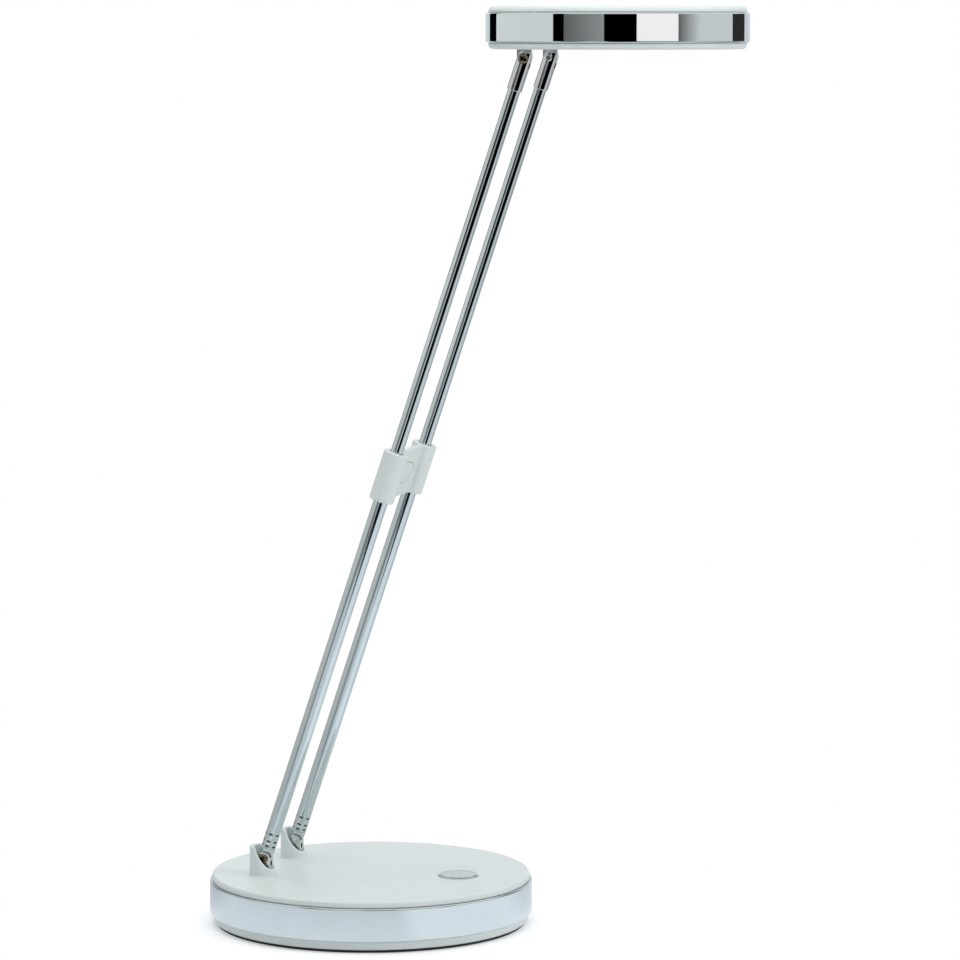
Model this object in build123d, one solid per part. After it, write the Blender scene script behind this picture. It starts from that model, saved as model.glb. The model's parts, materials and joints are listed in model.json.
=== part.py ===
from build123d import *
from math import cos, radians, sin
import os

# Folding desk lamp: a weighted round base, two parallel telescopic tubes and a flat round head
# that shines downwards. The two tubes also feed the head with low-voltage current, one pole each.
# Millimetres and degrees. +Z is up and the arm leans towards +X. The origin is the middle of the
# foot pad's underside. Front pieces are at -Y, rear pieces are their mirror images at +Y.

# Base
base_r = 70.0  # outside of the bright band
foot_r = 66.9
foot_t = 1.2
tray_flat_r = 67.9  # flat underside of the tray
tray_ledge_r = 68.6  # ledge that carries the band
tray_floor_z = 3.2
band_low_z = 5.0
band_high_z = 19.2
band_bore_r = 67.4
band_round = 0.7
skirt_r = 67.2  # cover skirt and tray upstand, inside the band
skirt_bore_r = 65.4
skirt_joint_z = 12.1
cover_r = 68.9
cover_top_z = 22.0
cover_round = 1.8
cover_under_z = 19.9
tray_low_round = 0.9
tray_ledge_round = 0.8
tray_ledge_h = 1.0
edge_round = 2.2  # soft edge of the head's covers
shadow_gap = 0.4  # undercut between a cover's edge and the band
root = 0.5  # how deep a boss or rib is rooted in the wall that carries it
past = 1.0  # how far a cut runs past the surface that it opens
press_play = 0.02  # radial play of screws in their pilot holes and of plugs in tubes

# Ballast and case screws
ballast_r = 60.0
ballast_t = 6.0
ballast_round = 1.0
ballast_clearance = 1.4
ballast_notch = 4.0  # behind the power jack
case_screw_ring = 54.0
case_screw_angles = (38, 105, 255, 322)
case_screw_head_r = 2.9
case_screw_head_h = 1.9
case_screw_shank_r = 1.28
case_screw_length = 10.5
case_screw_seat_z = 3.6
case_head_gap = 0.2
case_shank_gap = 0.4
case_boss_r = 3.8
case_seat_wall = 0.6  # the tray's bosses are that much wider
case_boss_z = 5.4  # where tray bosses and cover bosses meet

# Arm
hinge_x = -41.4
hinge_z = 29.5
arm_tilt = 18.6  # from the vertical
arm_length = 363.4  # lower hinge to upper hinge
tube_offset = 21.26  # each tube from the middle plane
lower_tube_r = 3.15
upper_tube_r = 2.7
tube_wall = 0.4
lower_tube_low = 4.9  # heights on the arm are measured from the lower hinge
collar_low = 3.4  # collar of the lower end fitting
collar_round = 0.4
plug_high = 12.4
crimp_rows = (6.1, 8.3, 11.5)
crimp_count = 6
crimp_span = 28
crimp_depth = 0.25
crimp_height = 0.9
crimp_over = 0.1  # the dent cutter starts outside the tube
clip_low = 165.6
clip_length = 22.0
clip_sleeve_r = 5.35
clip_web_t = 2.4
clip_round = 0.7
clip_lip_r = 3.0  # lip over the lower tube's end
clip_lip_h = 1.4
thumb_mark = (11.2, 4.7)  # half length and half height of the oval groove on the clip
mark_width = 0.5
mark_depth = 0.3
upper_tube_low = 160.0
bush_low = 157.0
bush_r = 2.72
bush_plug = 6.0
bush_slot_half = 0.3
bush_solid = 0.8  # unslotted stretch below the tube
ferrule_r = 3.25
ferrule_length = 14.0
ferrule_bore_depth = 8.0
ferrule_round = 0.35

# Hinges
pin_r = 1.45
pin_hole_r = 1.5
base_pin_tip = 0.5  # how far the screws stand out of the fork and of the ferrule
top_pin_tip = 0.3
screw_head_r = 2.1
screw_head_h = 1.2
screw_seat_gap = 0.15
hinge_reach = 9.0  # beyond every face of a hinge piece
fork_half_x = 2.95
fork_half_y = 2.6
tongue_half_y = 1.0
slot_half_y = 1.08
slot_below = 3.6  # slot floor under the hinge axis
cup_r = 5.9
cup_x = -0.75  # cup axis from the hinge axis
cup_h = 12.9
cup_floor_t = 0.8
cup_flare = 0.5  # fillet round the foot of the cup
cup_foot_t = 0.15
cup_round = 0.5
cup_round_from = 1.6  # the rim is rounded above this height
cup_shoulder = 1.6  # where the scoop runs out into the tall rear wall
pocket_rear_x = -4.1  # pocket for the fork, from the hinge axis
pocket_front_x = 3.2
pocket_half_y = 4.2
pocket_corner_r = 2.8
scoop_r = 16.4
scoop_x = 12.9  # scoop axis from the hinge axis
scoop_z = 16.6  # scoop axis above the cover
fork_boss_r = 4.6
fork_stud_r = 1.95
fork_stud_gap = 0.1
fork_stud_low_z = 13.4
fork_boss_z = 17.4
tag_r = 3.8
tag_half_y = 1.5
tag_t = 0.5
tag_reach = 9.5
nut_t = 3.0
nut_width = 7.0

# Push button, switch and driver board
button_x = 39.5
button_r = 8.3
button_proud = 0.9
button_round = 0.5
button_hole_r = 8.55
button_flange_r = 9.3
button_flange_t = 0.9
button_flange_z = 18.7
guide_gap = 0.4
guide_wall = 1.4
stem_r = 2.4
stem_low_z = 17.9
guide_low_z = 16.9
board_low_z = 10.5
board_top_z = 12.1
board_x0 = 22.0
board_x1 = 56.5
board_half_y = 14.0
board_boss_r = 2.8
board_boss_inset = 3.4
board_screw = (2.0, 1.1, 0.98, 5.5)  # head radius, head height, shank radius, length
board_hole_r = 1.1
capacitor_place = (50.5, 4.0)
capacitor_r = 2.5
capacitor_h = 4.5
coil_area = (46.2, 51.2, -8.2, -3.2)  # lowest and highest X, lowest and highest Y
coil_h = 3.5
chip_area = (29.0, 34.0, 9.0, 13.0)
chip_h = 1.6
diode_area = (29.0, 33.5, -12.5, -9.8)
diode_h = 2.0
switch_half = 6.0
switch_h = 4.5
plunger_r = 1.6
plunger_low_z = 13.9
plunger_gap = 0.15
plunger_room = 1.1  # free depth under the plunger
lead_r = 0.6
lead_bend = 8.0
lead_end_x = board_x0 + 2.5  # where the leads are soldered to the driver board
supply_y = (2.5, 3.5, 6.5, 3.5)  # supply leads from the jack to the board
supply_x = (-38.0, -8.0, 11.0)
supply_rise = (0.4, 0.5)
feed_x = (5.0, 16.0, -6.0, 9.0)  # the first two from the fork, the others from the middle
feed_y = (15.0, 7.0)
feed_z = 14.2

# Power inlet in the rear of the base
inlet_z = (band_low_z + band_high_z) / 2
inlet_r = 5.0
jack_face_x = -64.9
jack_back_x = -51.9
jack_half_y = 4.6
jack_half_z = 4.8
jack_socket_r = 3.1
jack_socket_depth = 10.0
jack_pin_r = 1.0
jack_pin_length = 9.0
lug_length = 3.5
lug_y = 2.5
lug_half_y = 1.2
lug_t = 0.6
cradle_wall = 1.5
cradle_inset = 1.0

# Head, with heights from its own underside
head_x = 109.2
head_z = 377.7
head_r = 55.5
head_cover_r = 54.3
head_h = 18.0
head_band_low = 2.8
head_band_high = 15.2
head_band_bore_r = 53.2
head_skirt_r = 53.0
head_skirt_bore_r = 51.2
head_joint_z = 8.8
head_floor_t = 2.0
head_roof_z = 16.0
window_r = 34.0
diffuser_plug_r = 33.8
diffuser_flange_r = 36.0
diffuser_low = 0.4
diffuser_high = 3.4
diffuser_round = 0.4
tab_half_x = 3.2
tab_flange_t = 1.2
tab_flange_back = 7.0
tab_flange_half_y = 2.4
tab_post_r = 1.9
tab_post_inset = 2.2
tab_slot_gap = 0.1
led_board_r = 36.0
led_board_low = 9.6
led_board_high = 11.2
led_rings = ((9.5, 6), (18.5, 10), (28.0, 16))  # ring radius and number of LEDs
led_size = (3.5, 2.8, 1.4)
led_screw_ring = 33.0
led_screw_angles = (0, 120, 240)
led_boss_r = 2.4
led_screw = (1.9, 1.1, 0.98, 5.0)
led_hole_r = 1.1
head_screw_ring = 46.0
head_screw_angles = (0, 105, 255)
head_screw_seat = 2.0
head_boss_r = 3.4
head_boss_z = 4.0
head_screw = (2.4, 1.5, 1.08, 9.0)
head_seat_r = 2.6
head_hole_r = 1.4
head_lead_x = 1.5  # from the hinge tab
head_lead_end = (-24.0, 14.5)
head_lead_bend = 3.5

arm_frame = Location((hinge_x, 0, hinge_z), (0, arm_tilt, 0))
head_frame = Pos(head_x, 0, head_z)
tab_x = hinge_x + arm_length * sin(radians(arm_tilt)) - head_x
tab_z = hinge_z + arm_length * cos(radians(arm_tilt)) - head_z
lower_bore_r = lower_tube_r - tube_wall
upper_bore_r = upper_tube_r - tube_wall


def turned(*corners):
    # Solid of revolution about Z. A corner is (radius, height) or (radius, height, rounding).
    face = make_face(Polyline(*[corner[:2] for corner in corners], close=True))
    for corner in corners:
        if len(corner) == 3:
            point = face.vertices().sort_by_distance(Vector(corner[0], corner[1], 0))[0]
            face = fillet(point, corner[2])
    return revolve(Plane.XZ * face, Axis.Z)


def upright(r, z0, z1):
    return Pos(0, 0, z0) * Cylinder(r, z1 - z0, align=(Align.CENTER, Align.CENTER, Align.MIN))


def crosswise(r, y0, y1):
    return Pos(0, y0, 0) * Rot(-90, 0, 0) * upright(r, 0, y1 - y0)


def lengthwise(r, x0, x1):
    return Pos(x0, 0, 0) * Rot(0, 90, 0) * upright(r, 0, x1 - x0)


def block(x0, x1, y0, y1, z0, z1):
    return Pos((x0 + x1) / 2, (y0 + y1) / 2, (z0 + z1) / 2) * Box(x1 - x0, y1 - y0, z1 - z0)


def around(ring, angles):
    return [Pos(ring * cos(radians(a)), ring * sin(radians(a)), 0) for a in angles]


def pan_screw(head_r, head_h, shank_r, length):
    # Cross-head screw along Z, its head below zero and its shank above
    tip = 0.4
    screw = turned((0, -head_h), (head_r, -head_h, 0.6 * head_h), (head_r, 0), (shank_r, 0),
                   (shank_r, length - tip), (shank_r - tip, length), (0, length))
    reach = 0.6 * head_r
    half = 0.3
    for turn in (0, 90):
        screw -= Rot(0, 0, turn) * block(-reach, reach, -half, half, -head_h, -0.35 * head_h)
    return screw


def wire(points, bend):
    path = FilletPolyline(*points, radius=bend)
    return sweep(Plane(origin=path @ 0, z_dir=path % 0) * Circle(lead_r), path=path)


def inlet_hole():
    return Pos(0, 0, inlet_z) * lengthwise(inlet_r, -base_r - past, jack_face_x)


def foot_pad():
    return upright(foot_r, 0, foot_t)


def base_tray():
    tray = turned((0, foot_t), (tray_flat_r, foot_t, tray_low_round),
                  (tray_ledge_r, band_low_z - tray_ledge_h, tray_ledge_round), (tray_ledge_r, band_low_z),
                  (skirt_r, band_low_z), (skirt_r, skirt_joint_z), (skirt_bore_r, skirt_joint_z),
                  (skirt_bore_r, tray_floor_z), (0, tray_floor_z))
    root_z = foot_t + root
    for place in around(case_screw_ring, case_screw_angles):
        tray += place * upright(case_boss_r + case_seat_wall, root_z, case_boss_z)
        tray -= place * upright(case_screw_head_r + case_head_gap, foot_t, case_screw_seat_z)
        tray -= place * upright(case_screw_shank_r + case_shank_gap, foot_t, case_boss_z)
    half_y = jack_half_y + cradle_wall
    tray += block(jack_face_x + cradle_inset, jack_back_x, -half_y, half_y, root_z, inlet_z - cradle_inset)
    tray -= block(jack_face_x, jack_back_x, -jack_half_y, jack_half_y, inlet_z - jack_half_z, inlet_z)
    return tray - inlet_hole()


def ballast_plate():
    ballast_high_z = tray_floor_z + ballast_t
    plate = turned((0, tray_floor_z), (ballast_r, tray_floor_z), (ballast_r, ballast_high_z, ballast_round),
                   (0, ballast_high_z))
    for place in around(case_screw_ring, case_screw_angles):
        plate -= place * upright(case_boss_r + ballast_clearance, 0, ballast_high_z + past)
    half_y = jack_half_y + 2 * cradle_wall
    return plate - block(-base_r, jack_back_x + ballast_notch, -half_y, half_y, 0, ballast_high_z + past)


def base_band():
    band = turned((band_bore_r, band_low_z), (base_r, band_low_z, band_round),
                  (base_r, band_high_z, band_round), (band_bore_r, band_high_z))
    return band - inlet_hole()


def hinge_cup():
    # Cup on the cover with a pocket for the fork, scooped to a low lip on the side that the arm folds to
    foot_r = cup_r + cup_flare + cup_foot_t
    cup = Pos(cup_x, 0, 0) * turned((0, 0), (foot_r, 0), (foot_r, cup_foot_t), (cup_r, cup_foot_t, cup_flare),
                                    (cup_r, 2 * cup_h), (0, 2 * cup_h))
    pocket = RectangleRounded(pocket_front_x - pocket_rear_x, 2 * pocket_half_y, pocket_corner_r)
    cup -= Pos((pocket_front_x + pocket_rear_x) / 2, 0, cup_floor_t) * extrude(pocket, 2 * cup_h)
    cup -= upright(fork_stud_r + fork_stud_gap, 0, cup_floor_t)
    scoop = Pos(scoop_x, scoop_z) * Circle(scoop_r)
    scoop += Pos(0, 2 * cup_h) * Rectangle(8 * cup_r, 2 * cup_h)
    shoulder = scoop.vertices().sort_by_distance(Vector(scoop_x - scoop_r, cup_h, 0))[0]
    scoop = fillet(shoulder, cup_shoulder)
    cup -= extrude(Plane.XZ * scoop, 2 * cup_r, both=True)
    rim = cup.edges().filter_by(lambda edge: edge.center().Z > cup_round_from)
    walls = rim.filter_by(Axis.Y).sort_by(Axis.X)
    curves = rim.filter_by(GeomType.LINE, reverse=True)
    cup = fillet(curves + [walls[0], walls[-1]], cup_round)
    return Pos(0, 0, cover_top_z) * cup


def board_bosses():
    xs = (board_x0 + board_boss_inset, board_x1 - board_boss_inset)
    ys = (board_boss_inset - board_half_y, board_half_y - board_boss_inset)
    return [Pos(x, y, 0) for x in xs for y in ys]


def base_cover():
    root_z = cover_under_z + root
    cover = turned((0, cover_top_z), (cover_r, cover_top_z, cover_round), (cover_r, band_high_z + shadow_gap),
                   (cover_r - shadow_gap, band_high_z), (skirt_r, band_high_z), (skirt_r, skirt_joint_z),
                   (skirt_bore_r, skirt_joint_z), (skirt_bore_r, cover_under_z), (0, cover_under_z))
    for side in (-1, 1):
        place = Pos(hinge_x, side * tube_offset, 0)
        cover += place * upright(fork_boss_r, fork_boss_z, root_z)
        cover -= place * upright(fork_stud_r + fork_stud_gap, fork_boss_z, cover_top_z)
    pilot_r = case_screw_shank_r + press_play
    for place in around(case_screw_ring, case_screw_angles):
        cover += place * upright(case_boss_r, case_boss_z, root_z)
        cover -= place * upright(pilot_r, case_boss_z, case_boss_z + case_screw_length)
    for place in board_bosses():
        cover += place * upright(board_boss_r, board_top_z, root_z)
        cover -= place * upright(board_screw[2] + press_play, board_top_z, board_top_z + board_screw[3])
    guide_bore_r = button_flange_r + guide_gap
    guide = upright(guide_bore_r + guide_wall, guide_low_z, root_z) - upright(guide_bore_r, 0, root_z)
    cover += Pos(button_x, 0, 0) * guide
    cover -= Pos(button_x, 0, 0) * upright(button_hole_r, 0, cover_top_z + past)
    return cover - inlet_hole()


def base_screws():
    screw = Pos(0, 0, case_screw_seat_z) * pan_screw(case_screw_head_r, case_screw_head_h,
                                                     case_screw_shank_r, case_screw_length)
    return Compound([place * screw for place in around(case_screw_ring, case_screw_angles)])


def base_fork():
    # Polished fork on a stud, its hinge axis at the origin
    floor = cover_top_z + cup_floor_t - hinge_z
    fork = upright(fork_stud_r, fork_stud_low_z - hinge_z, floor)
    fork += block(-fork_half_x, fork_half_x, -fork_half_y, fork_half_y, floor, 0)
    fork += crosswise(fork_half_x, -fork_half_y, fork_half_y)
    fork -= block(-hinge_reach, hinge_reach, -slot_half_y, slot_half_y, -slot_below, hinge_reach)
    return fork - crosswise(pin_hole_r, -fork_half_y, fork_half_y)


def hinge_screw(seat_y, tip_y):
    # Screw along Y with its head at the front
    return Pos(0, seat_y, 0) * Rot(-90, 0, 0) * pan_screw(screw_head_r, screw_head_h, pin_r, tip_y - seat_y)


def solder_tag():
    low_z = fork_boss_z - tag_t
    plate = upright(tag_r, low_z, fork_boss_z)
    plate += block(0, tag_reach, -tag_half_y, tag_half_y, low_z, fork_boss_z)
    return plate - upright(fork_stud_r + fork_stud_gap, low_z, fork_boss_z)


def fork_nut():
    nut = extrude(RegularPolygon(nut_width / 2, 6, major_radius=False), nut_t)
    return Pos(0, 0, fork_boss_z - tag_t - nut_t) * nut - upright(fork_stud_r + press_play, 0, fork_boss_z)


def dc_jack():
    jack = block(jack_face_x, jack_back_x, -jack_half_y, jack_half_y, inlet_z - jack_half_z,
                 inlet_z + jack_half_z)
    floor_x = jack_face_x + jack_socket_depth
    jack -= Pos(0, 0, inlet_z) * lengthwise(jack_socket_r, jack_face_x, floor_x)
    jack += Pos(0, 0, inlet_z) * lengthwise(jack_pin_r, floor_x - jack_pin_length, floor_x)
    for side in (-1, 1):
        lug = block(0, lug_length, -lug_half_y, lug_half_y, -lug_t, 0)
        jack += Pos(jack_back_x, side * lug_y, inlet_z) * lug
    return jack


def driver_board():
    board = block(board_x0, board_x1, -board_half_y, board_half_y, board_low_z, board_top_z)
    for place in board_bosses():
        board -= place * upright(board_hole_r, 0, cover_top_z)
    return board


def board_screws():
    screw = Pos(0, 0, board_low_z) * pan_screw(*board_screw)
    return Compound([place * screw for place in board_bosses()])


def driver_parts():
    capacitor = Pos(*capacitor_place, 0) * upright(capacitor_r, board_top_z, board_top_z + capacitor_h)
    coil = block(*coil_area, board_top_z, board_top_z + coil_h)
    chip = block(*chip_area, board_top_z, board_top_z + chip_h)
    diode = block(*diode_area, board_top_z, board_top_z + diode_h)
    return Compound([capacitor, coil, chip, diode])


def push_switch():
    switch = block(-switch_half, switch_half, -switch_half, switch_half, board_top_z, board_top_z + switch_h)
    switch -= upright(plunger_r + plunger_gap, plunger_low_z - plunger_room, guide_low_z)
    return Pos(button_x, 0, 0) * switch


def switch_plunger():
    return Pos(button_x, 0, 0) * upright(plunger_r, plunger_low_z, stem_low_z)


def button_cap():
    top_z = cover_top_z + button_proud
    flange_top_z = button_flange_z + button_flange_t
    cap = turned((0, top_z), (button_r, top_z, button_round), (button_r, flange_top_z),
                 (button_flange_r, flange_top_z), (button_flange_r, button_flange_z),
                 (stem_r, button_flange_z), (stem_r, stem_low_z), (0, stem_low_z))
    return Pos(button_x, 0, 0) * cap


def supply_lead(side):
    start_z = inlet_z + lead_r
    end_z = board_top_z + lead_r
    out_y, first_y, second_y, last_y = [side * y for y in supply_y]
    points = [(jack_back_x + lug_length / 2, out_y, start_z),
              (supply_x[0], first_y, start_z + supply_rise[0]),
              (supply_x[1], second_y, end_z + supply_rise[1]),
              (supply_x[2], last_y, end_z), (lead_end_x, last_y, end_z)]
    return wire(points, lead_bend)


def feed_lead(side):
    tag_z = fork_boss_z - tag_t - lead_r
    end_z = board_top_z + lead_r
    y = side * tube_offset
    points = [(hinge_x + feed_x[0], y, tag_z), (hinge_x + feed_x[1], y, tag_z),
              (feed_x[2], side * feed_y[0], feed_z), (feed_x[3], side * feed_y[1], end_z),
              (lead_end_x, side * feed_y[1], end_z)]
    return wire(points, lead_bend)


def tube_foot():
    # End fitting of a lower tube: tongue in the fork, collar, and plug inside the tube
    foot = crosswise(fork_half_x, -tongue_half_y, tongue_half_y)
    foot += block(-fork_half_x, fork_half_x, -tongue_half_y, tongue_half_y, 0, collar_low)
    plug_r = lower_bore_r - press_play
    foot += turned((0, collar_low), (lower_tube_r, collar_low, collar_round), (lower_tube_r, lower_tube_low),
                   (plug_r, lower_tube_low), (plug_r, plug_high), (0, plug_high))
    return foot - crosswise(pin_hole_r, -tongue_half_y, tongue_half_y)


def lower_tube():
    high = clip_low + clip_length - clip_lip_h
    tube = upright(lower_tube_r, lower_tube_low, high) - upright(lower_bore_r, 0, high)
    floor_r = lower_tube_r - crimp_depth
    mouth_r = lower_tube_r + crimp_over
    mark = Polyline((mouth_r, -crimp_height / 2), (floor_r, -crimp_height / 4),
                    (floor_r, crimp_height / 4), (mouth_r, crimp_height / 2), close=True)
    dent = revolve(Plane.XZ * make_face(mark), Axis.Z, crimp_span)
    for row in crimp_rows:
        for index in range(crimp_count):
            tube -= Pos(0, 0, row) * Rot(0, 0, index * 360 / crimp_count) * dent
    return tube


def arm_clip():
    outline = Rectangle(clip_web_t, 2 * tube_offset)
    for side in (-1, 1):
        outline += Pos(0, side * tube_offset) * Circle(clip_sleeve_r)
    clip = Pos(0, 0, clip_low) * extrude(outline, clip_length)
    ends = clip.faces().filter_by(Axis.Z)
    clip = fillet(ends.edges(), clip_round)
    for side in (-1, 1):
        place = Pos(0, side * tube_offset, clip_low)
        clip -= place * upright(lower_tube_r, 0, clip_length - clip_lip_h)
        clip -= place * upright(clip_lip_r, 0, clip_length)
    long, high = thumb_mark
    face = Plane(origin=(clip_web_t / 2, 0, clip_low + clip_length / 2), x_dir=(0, 1, 0), z_dir=(1, 0, 0))
    groove = Ellipse(long, high) - Ellipse(long - mark_width, high - mark_width)
    return clip - extrude(face * groove, -mark_depth)


def upper_tube():
    high = arm_length - ferrule_length + ferrule_bore_depth
    return upright(upper_tube_r, upper_tube_low, high) - upright(upper_bore_r, 0, high)


def contact_bush():
    # Slotted brass bush that leads the current from the lower tube into the upper one
    plug_r = upper_bore_r - press_play
    plug_top = upper_tube_low + bush_plug
    bush = turned((0, bush_low), (bush_r, bush_low, collar_round), (bush_r, upper_tube_low),
                  (plug_r, upper_tube_low), (plug_r, plug_top), (0, plug_top))
    slot_top = upper_tube_low - bush_solid
    slot = block(-2 * bush_r, 2 * bush_r, -bush_slot_half, bush_slot_half, bush_low, slot_top)
    return bush - slot - Rot(0, 0, 90) * slot


def top_ferrule():
    # Slotted sleeve on the upper tube, rounded about the hinge axis, which is its origin
    low = -ferrule_length
    far = hinge_reach
    sleeve = turned((0, low), (ferrule_r, low, ferrule_round), (ferrule_r, ferrule_r), (0, ferrule_r))
    sleeve = (sleeve & block(-far, far, -far, far, low, 0)) + (sleeve & crosswise(ferrule_r, -far, far))
    sleeve -= upright(upper_tube_r, low, low + ferrule_bore_depth)
    sleeve -= block(-far, far, -slot_half_y, slot_half_y, -slot_below, far)
    sleeve -= crosswise(screw_head_r + screw_seat_gap, -far, -fork_half_y)
    return sleeve - crosswise(pin_hole_r, -far, far)


def head_tab():
    # Flat tongue under the head with a flange that lies on the head's floor
    tab = crosswise(tab_half_x, -tongue_half_y, tongue_half_y)
    top = head_floor_t - tab_z
    tab += block(-tab_half_x, tab_half_x, -tongue_half_y, tongue_half_y, 0, top)
    tab += block(-tab_flange_back, tab_half_x, -tab_flange_half_y, tab_flange_half_y, top, top + tab_flange_t)
    return tab - crosswise(pin_hole_r, -hinge_reach, hinge_reach)


def head_lower_cover():
    cover = turned((window_r, 0), (head_cover_r, 0, edge_round), (head_cover_r, head_band_low - shadow_gap),
                   (head_cover_r - shadow_gap, head_band_low), (head_skirt_r, head_band_low),
                   (head_skirt_r, head_joint_z), (head_skirt_bore_r, head_joint_z),
                   (head_skirt_bore_r, head_floor_t), (window_r, head_floor_t))
    half_x = tab_half_x + tab_slot_gap
    half_y = tongue_half_y + tab_slot_gap
    for side in (-1, 1):
        slot = block(-half_x, half_x, -half_y, half_y, 0, head_floor_t)
        cover -= Pos(tab_x, side * tube_offset, 0) * slot
    for place in around(head_screw_ring, head_screw_angles):
        cover += place * upright(head_boss_r, head_floor_t - root, head_boss_z)
        cover -= place * upright(head_seat_r, 0, head_screw_seat)
        cover -= place * upright(head_hole_r, 0, head_boss_z)
    return cover


def head_band():
    return turned((head_band_bore_r, head_band_low), (head_r, head_band_low, band_round),
                  (head_r, head_band_high, band_round), (head_band_bore_r, head_band_high))


def head_top_cover():
    root_z = head_roof_z + root
    cover = turned((0, head_h), (head_cover_r, head_h, edge_round),
                   (head_cover_r, head_band_high + shadow_gap), (head_cover_r - shadow_gap, head_band_high),
                   (head_skirt_r, head_band_high), (head_skirt_r, head_joint_z),
                   (head_skirt_bore_r, head_joint_z), (head_skirt_bore_r, head_roof_z), (0, head_roof_z))
    for place in around(head_screw_ring, head_screw_angles):
        cover += place * upright(head_boss_r, head_boss_z, root_z)
        cover -= place * upright(head_screw[2] + press_play, head_boss_z, head_boss_z + head_screw[3])
    pilot_top = led_board_low + led_screw[3]
    for place in around(led_screw_ring, led_screw_angles):
        cover += place * upright(led_boss_r, led_board_high, root_z)
        cover -= place * upright(led_screw[2] + press_play, led_board_high, pilot_top)
    for side in (-1, 1):
        post = upright(tab_post_r, head_floor_t + tab_flange_t, root_z)
        cover += Pos(tab_x - tab_flange_back + tab_post_inset, side * tube_offset, 0) * post
    return cover


def diffuser():
    return turned((0, diffuser_low), (diffuser_plug_r, diffuser_low, diffuser_round),
                  (diffuser_plug_r, head_floor_t), (diffuser_flange_r, head_floor_t),
                  (diffuser_flange_r, diffuser_high), (0, diffuser_high))


def led_board():
    board = upright(led_board_r, led_board_low, led_board_high)
    for place in around(led_screw_ring, led_screw_angles):
        board -= place * upright(led_hole_r, led_board_low, led_board_high)
    return board


def led_chips():
    width, depth, height = led_size
    chip = block(-width / 2, width / 2, -depth / 2, depth / 2, led_board_low - height, led_board_low)
    chips = []
    for ring, count in led_rings:
        for index in range(count):
            chips.append(Rot(0, 0, (index + 0.5) * 360 / count) * Pos(ring, 0, 0) * chip)
    return Compound(chips)


def led_screws():
    screw = Pos(0, 0, led_board_low) * pan_screw(*led_screw)
    return Compound([place * screw for place in around(led_screw_ring, led_screw_angles)])


def head_screws():
    screw = Pos(0, 0, head_screw_seat) * pan_screw(*head_screw)
    return Compound([place * screw for place in around(head_screw_ring, head_screw_angles)])


def head_lead(side):
    top_z = led_board_high + lead_r
    x = tab_x + head_lead_x
    y = side * tube_offset
    end_x, end_y = head_lead_end
    points = [(x, y, head_floor_t + tab_flange_t), (x, y, top_z), (end_x, side * end_y, top_z)]
    return wire(points, head_lead_bend)


def in_pairs(name, shape, frame):
    # The front piece of a mirrored pair and the rear one
    front = frame * Pos(0, -tube_offset, 0) * shape
    rear = frame * Pos(0, tube_offset, 0) * mirror(shape, about=Plane.XZ)
    return {name + "_front": front, name + "_rear": rear}


def as_group(pair):
    return Compound(list(pair.values()))


base_hinge = Pos(hinge_x, 0, hinge_z)
base_studs = Pos(hinge_x, 0, 0)
top_hinge = arm_frame * Pos(0, 0, arm_length)
head_hinge = head_frame * Pos(tab_x, 0, tab_z)
base_screw = hinge_screw(-fork_half_y, fork_half_y + base_pin_tip)
top_screw = hinge_screw(-fork_half_y, ferrule_r + top_pin_tip)

nodes = {
    "foot_pad": foot_pad(),
    "base_tray": base_tray(),
    "ballast_plate": ballast_plate(),
    "base_band": base_band(),
    "base_cover": base_cover(),
    "base_screws": base_screws(),
    "dc_jack": dc_jack(),
    "driver_board": driver_board(),
    "driver_parts": driver_parts(),
    "board_screws": board_screws(),
    "push_switch": push_switch(),
    "supply_lead_red": supply_lead(1),
    "supply_lead_black": supply_lead(-1),
    "feed_lead_front": feed_lead(-1),
    "feed_lead_rear": feed_lead(1),
    **in_pairs("hinge_cup", hinge_cup(), base_studs),
    **in_pairs("base_fork", base_fork(), base_hinge),
    "base_hinge_screws": as_group(in_pairs("screw", base_screw, base_hinge)),
    "solder_tags": as_group(in_pairs("tag", solder_tag(), base_studs)),
    "fork_nuts": as_group(in_pairs("nut", fork_nut(), base_studs)),
    "button_cap": button_cap(),
    "switch_plunger": switch_plunger(),
    **in_pairs("tube_foot", tube_foot(), arm_frame),
    **in_pairs("lower_tube", lower_tube(), arm_frame),
    "arm_clip": arm_frame * arm_clip(),
    **in_pairs("upper_tube", upper_tube(), arm_frame),
    **in_pairs("contact_bush", contact_bush(), arm_frame),
    **in_pairs("top_ferrule", top_ferrule(), top_hinge),
    "top_hinge_screws": as_group(in_pairs("screw", top_screw, top_hinge)),
    **in_pairs("head_tab", head_tab(), head_hinge),
    "head_lower_cover": head_frame * head_lower_cover(),
    "head_band": head_frame * head_band(),
    "head_top_cover": head_frame * head_top_cover(),
    "diffuser": head_frame * diffuser(),
    "led_board": head_frame * led_board(),
    "led_chips": head_frame * led_chips(),
    "led_screws": head_frame * led_screws(),
    "head_screws": head_frame * head_screws(),
    "head_lead_front": head_frame * head_lead(-1),
    "head_lead_rear": head_frame * head_lead(1),
}

os.makedirs("parts", exist_ok=True)
for name, shape in nodes.items():
    export_step(shape, f"parts/{name}.step")
print(len(nodes), "nodes written")
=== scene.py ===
import json
import math

import bmesh
import bpy
from mathutils import Matrix, Vector


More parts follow.
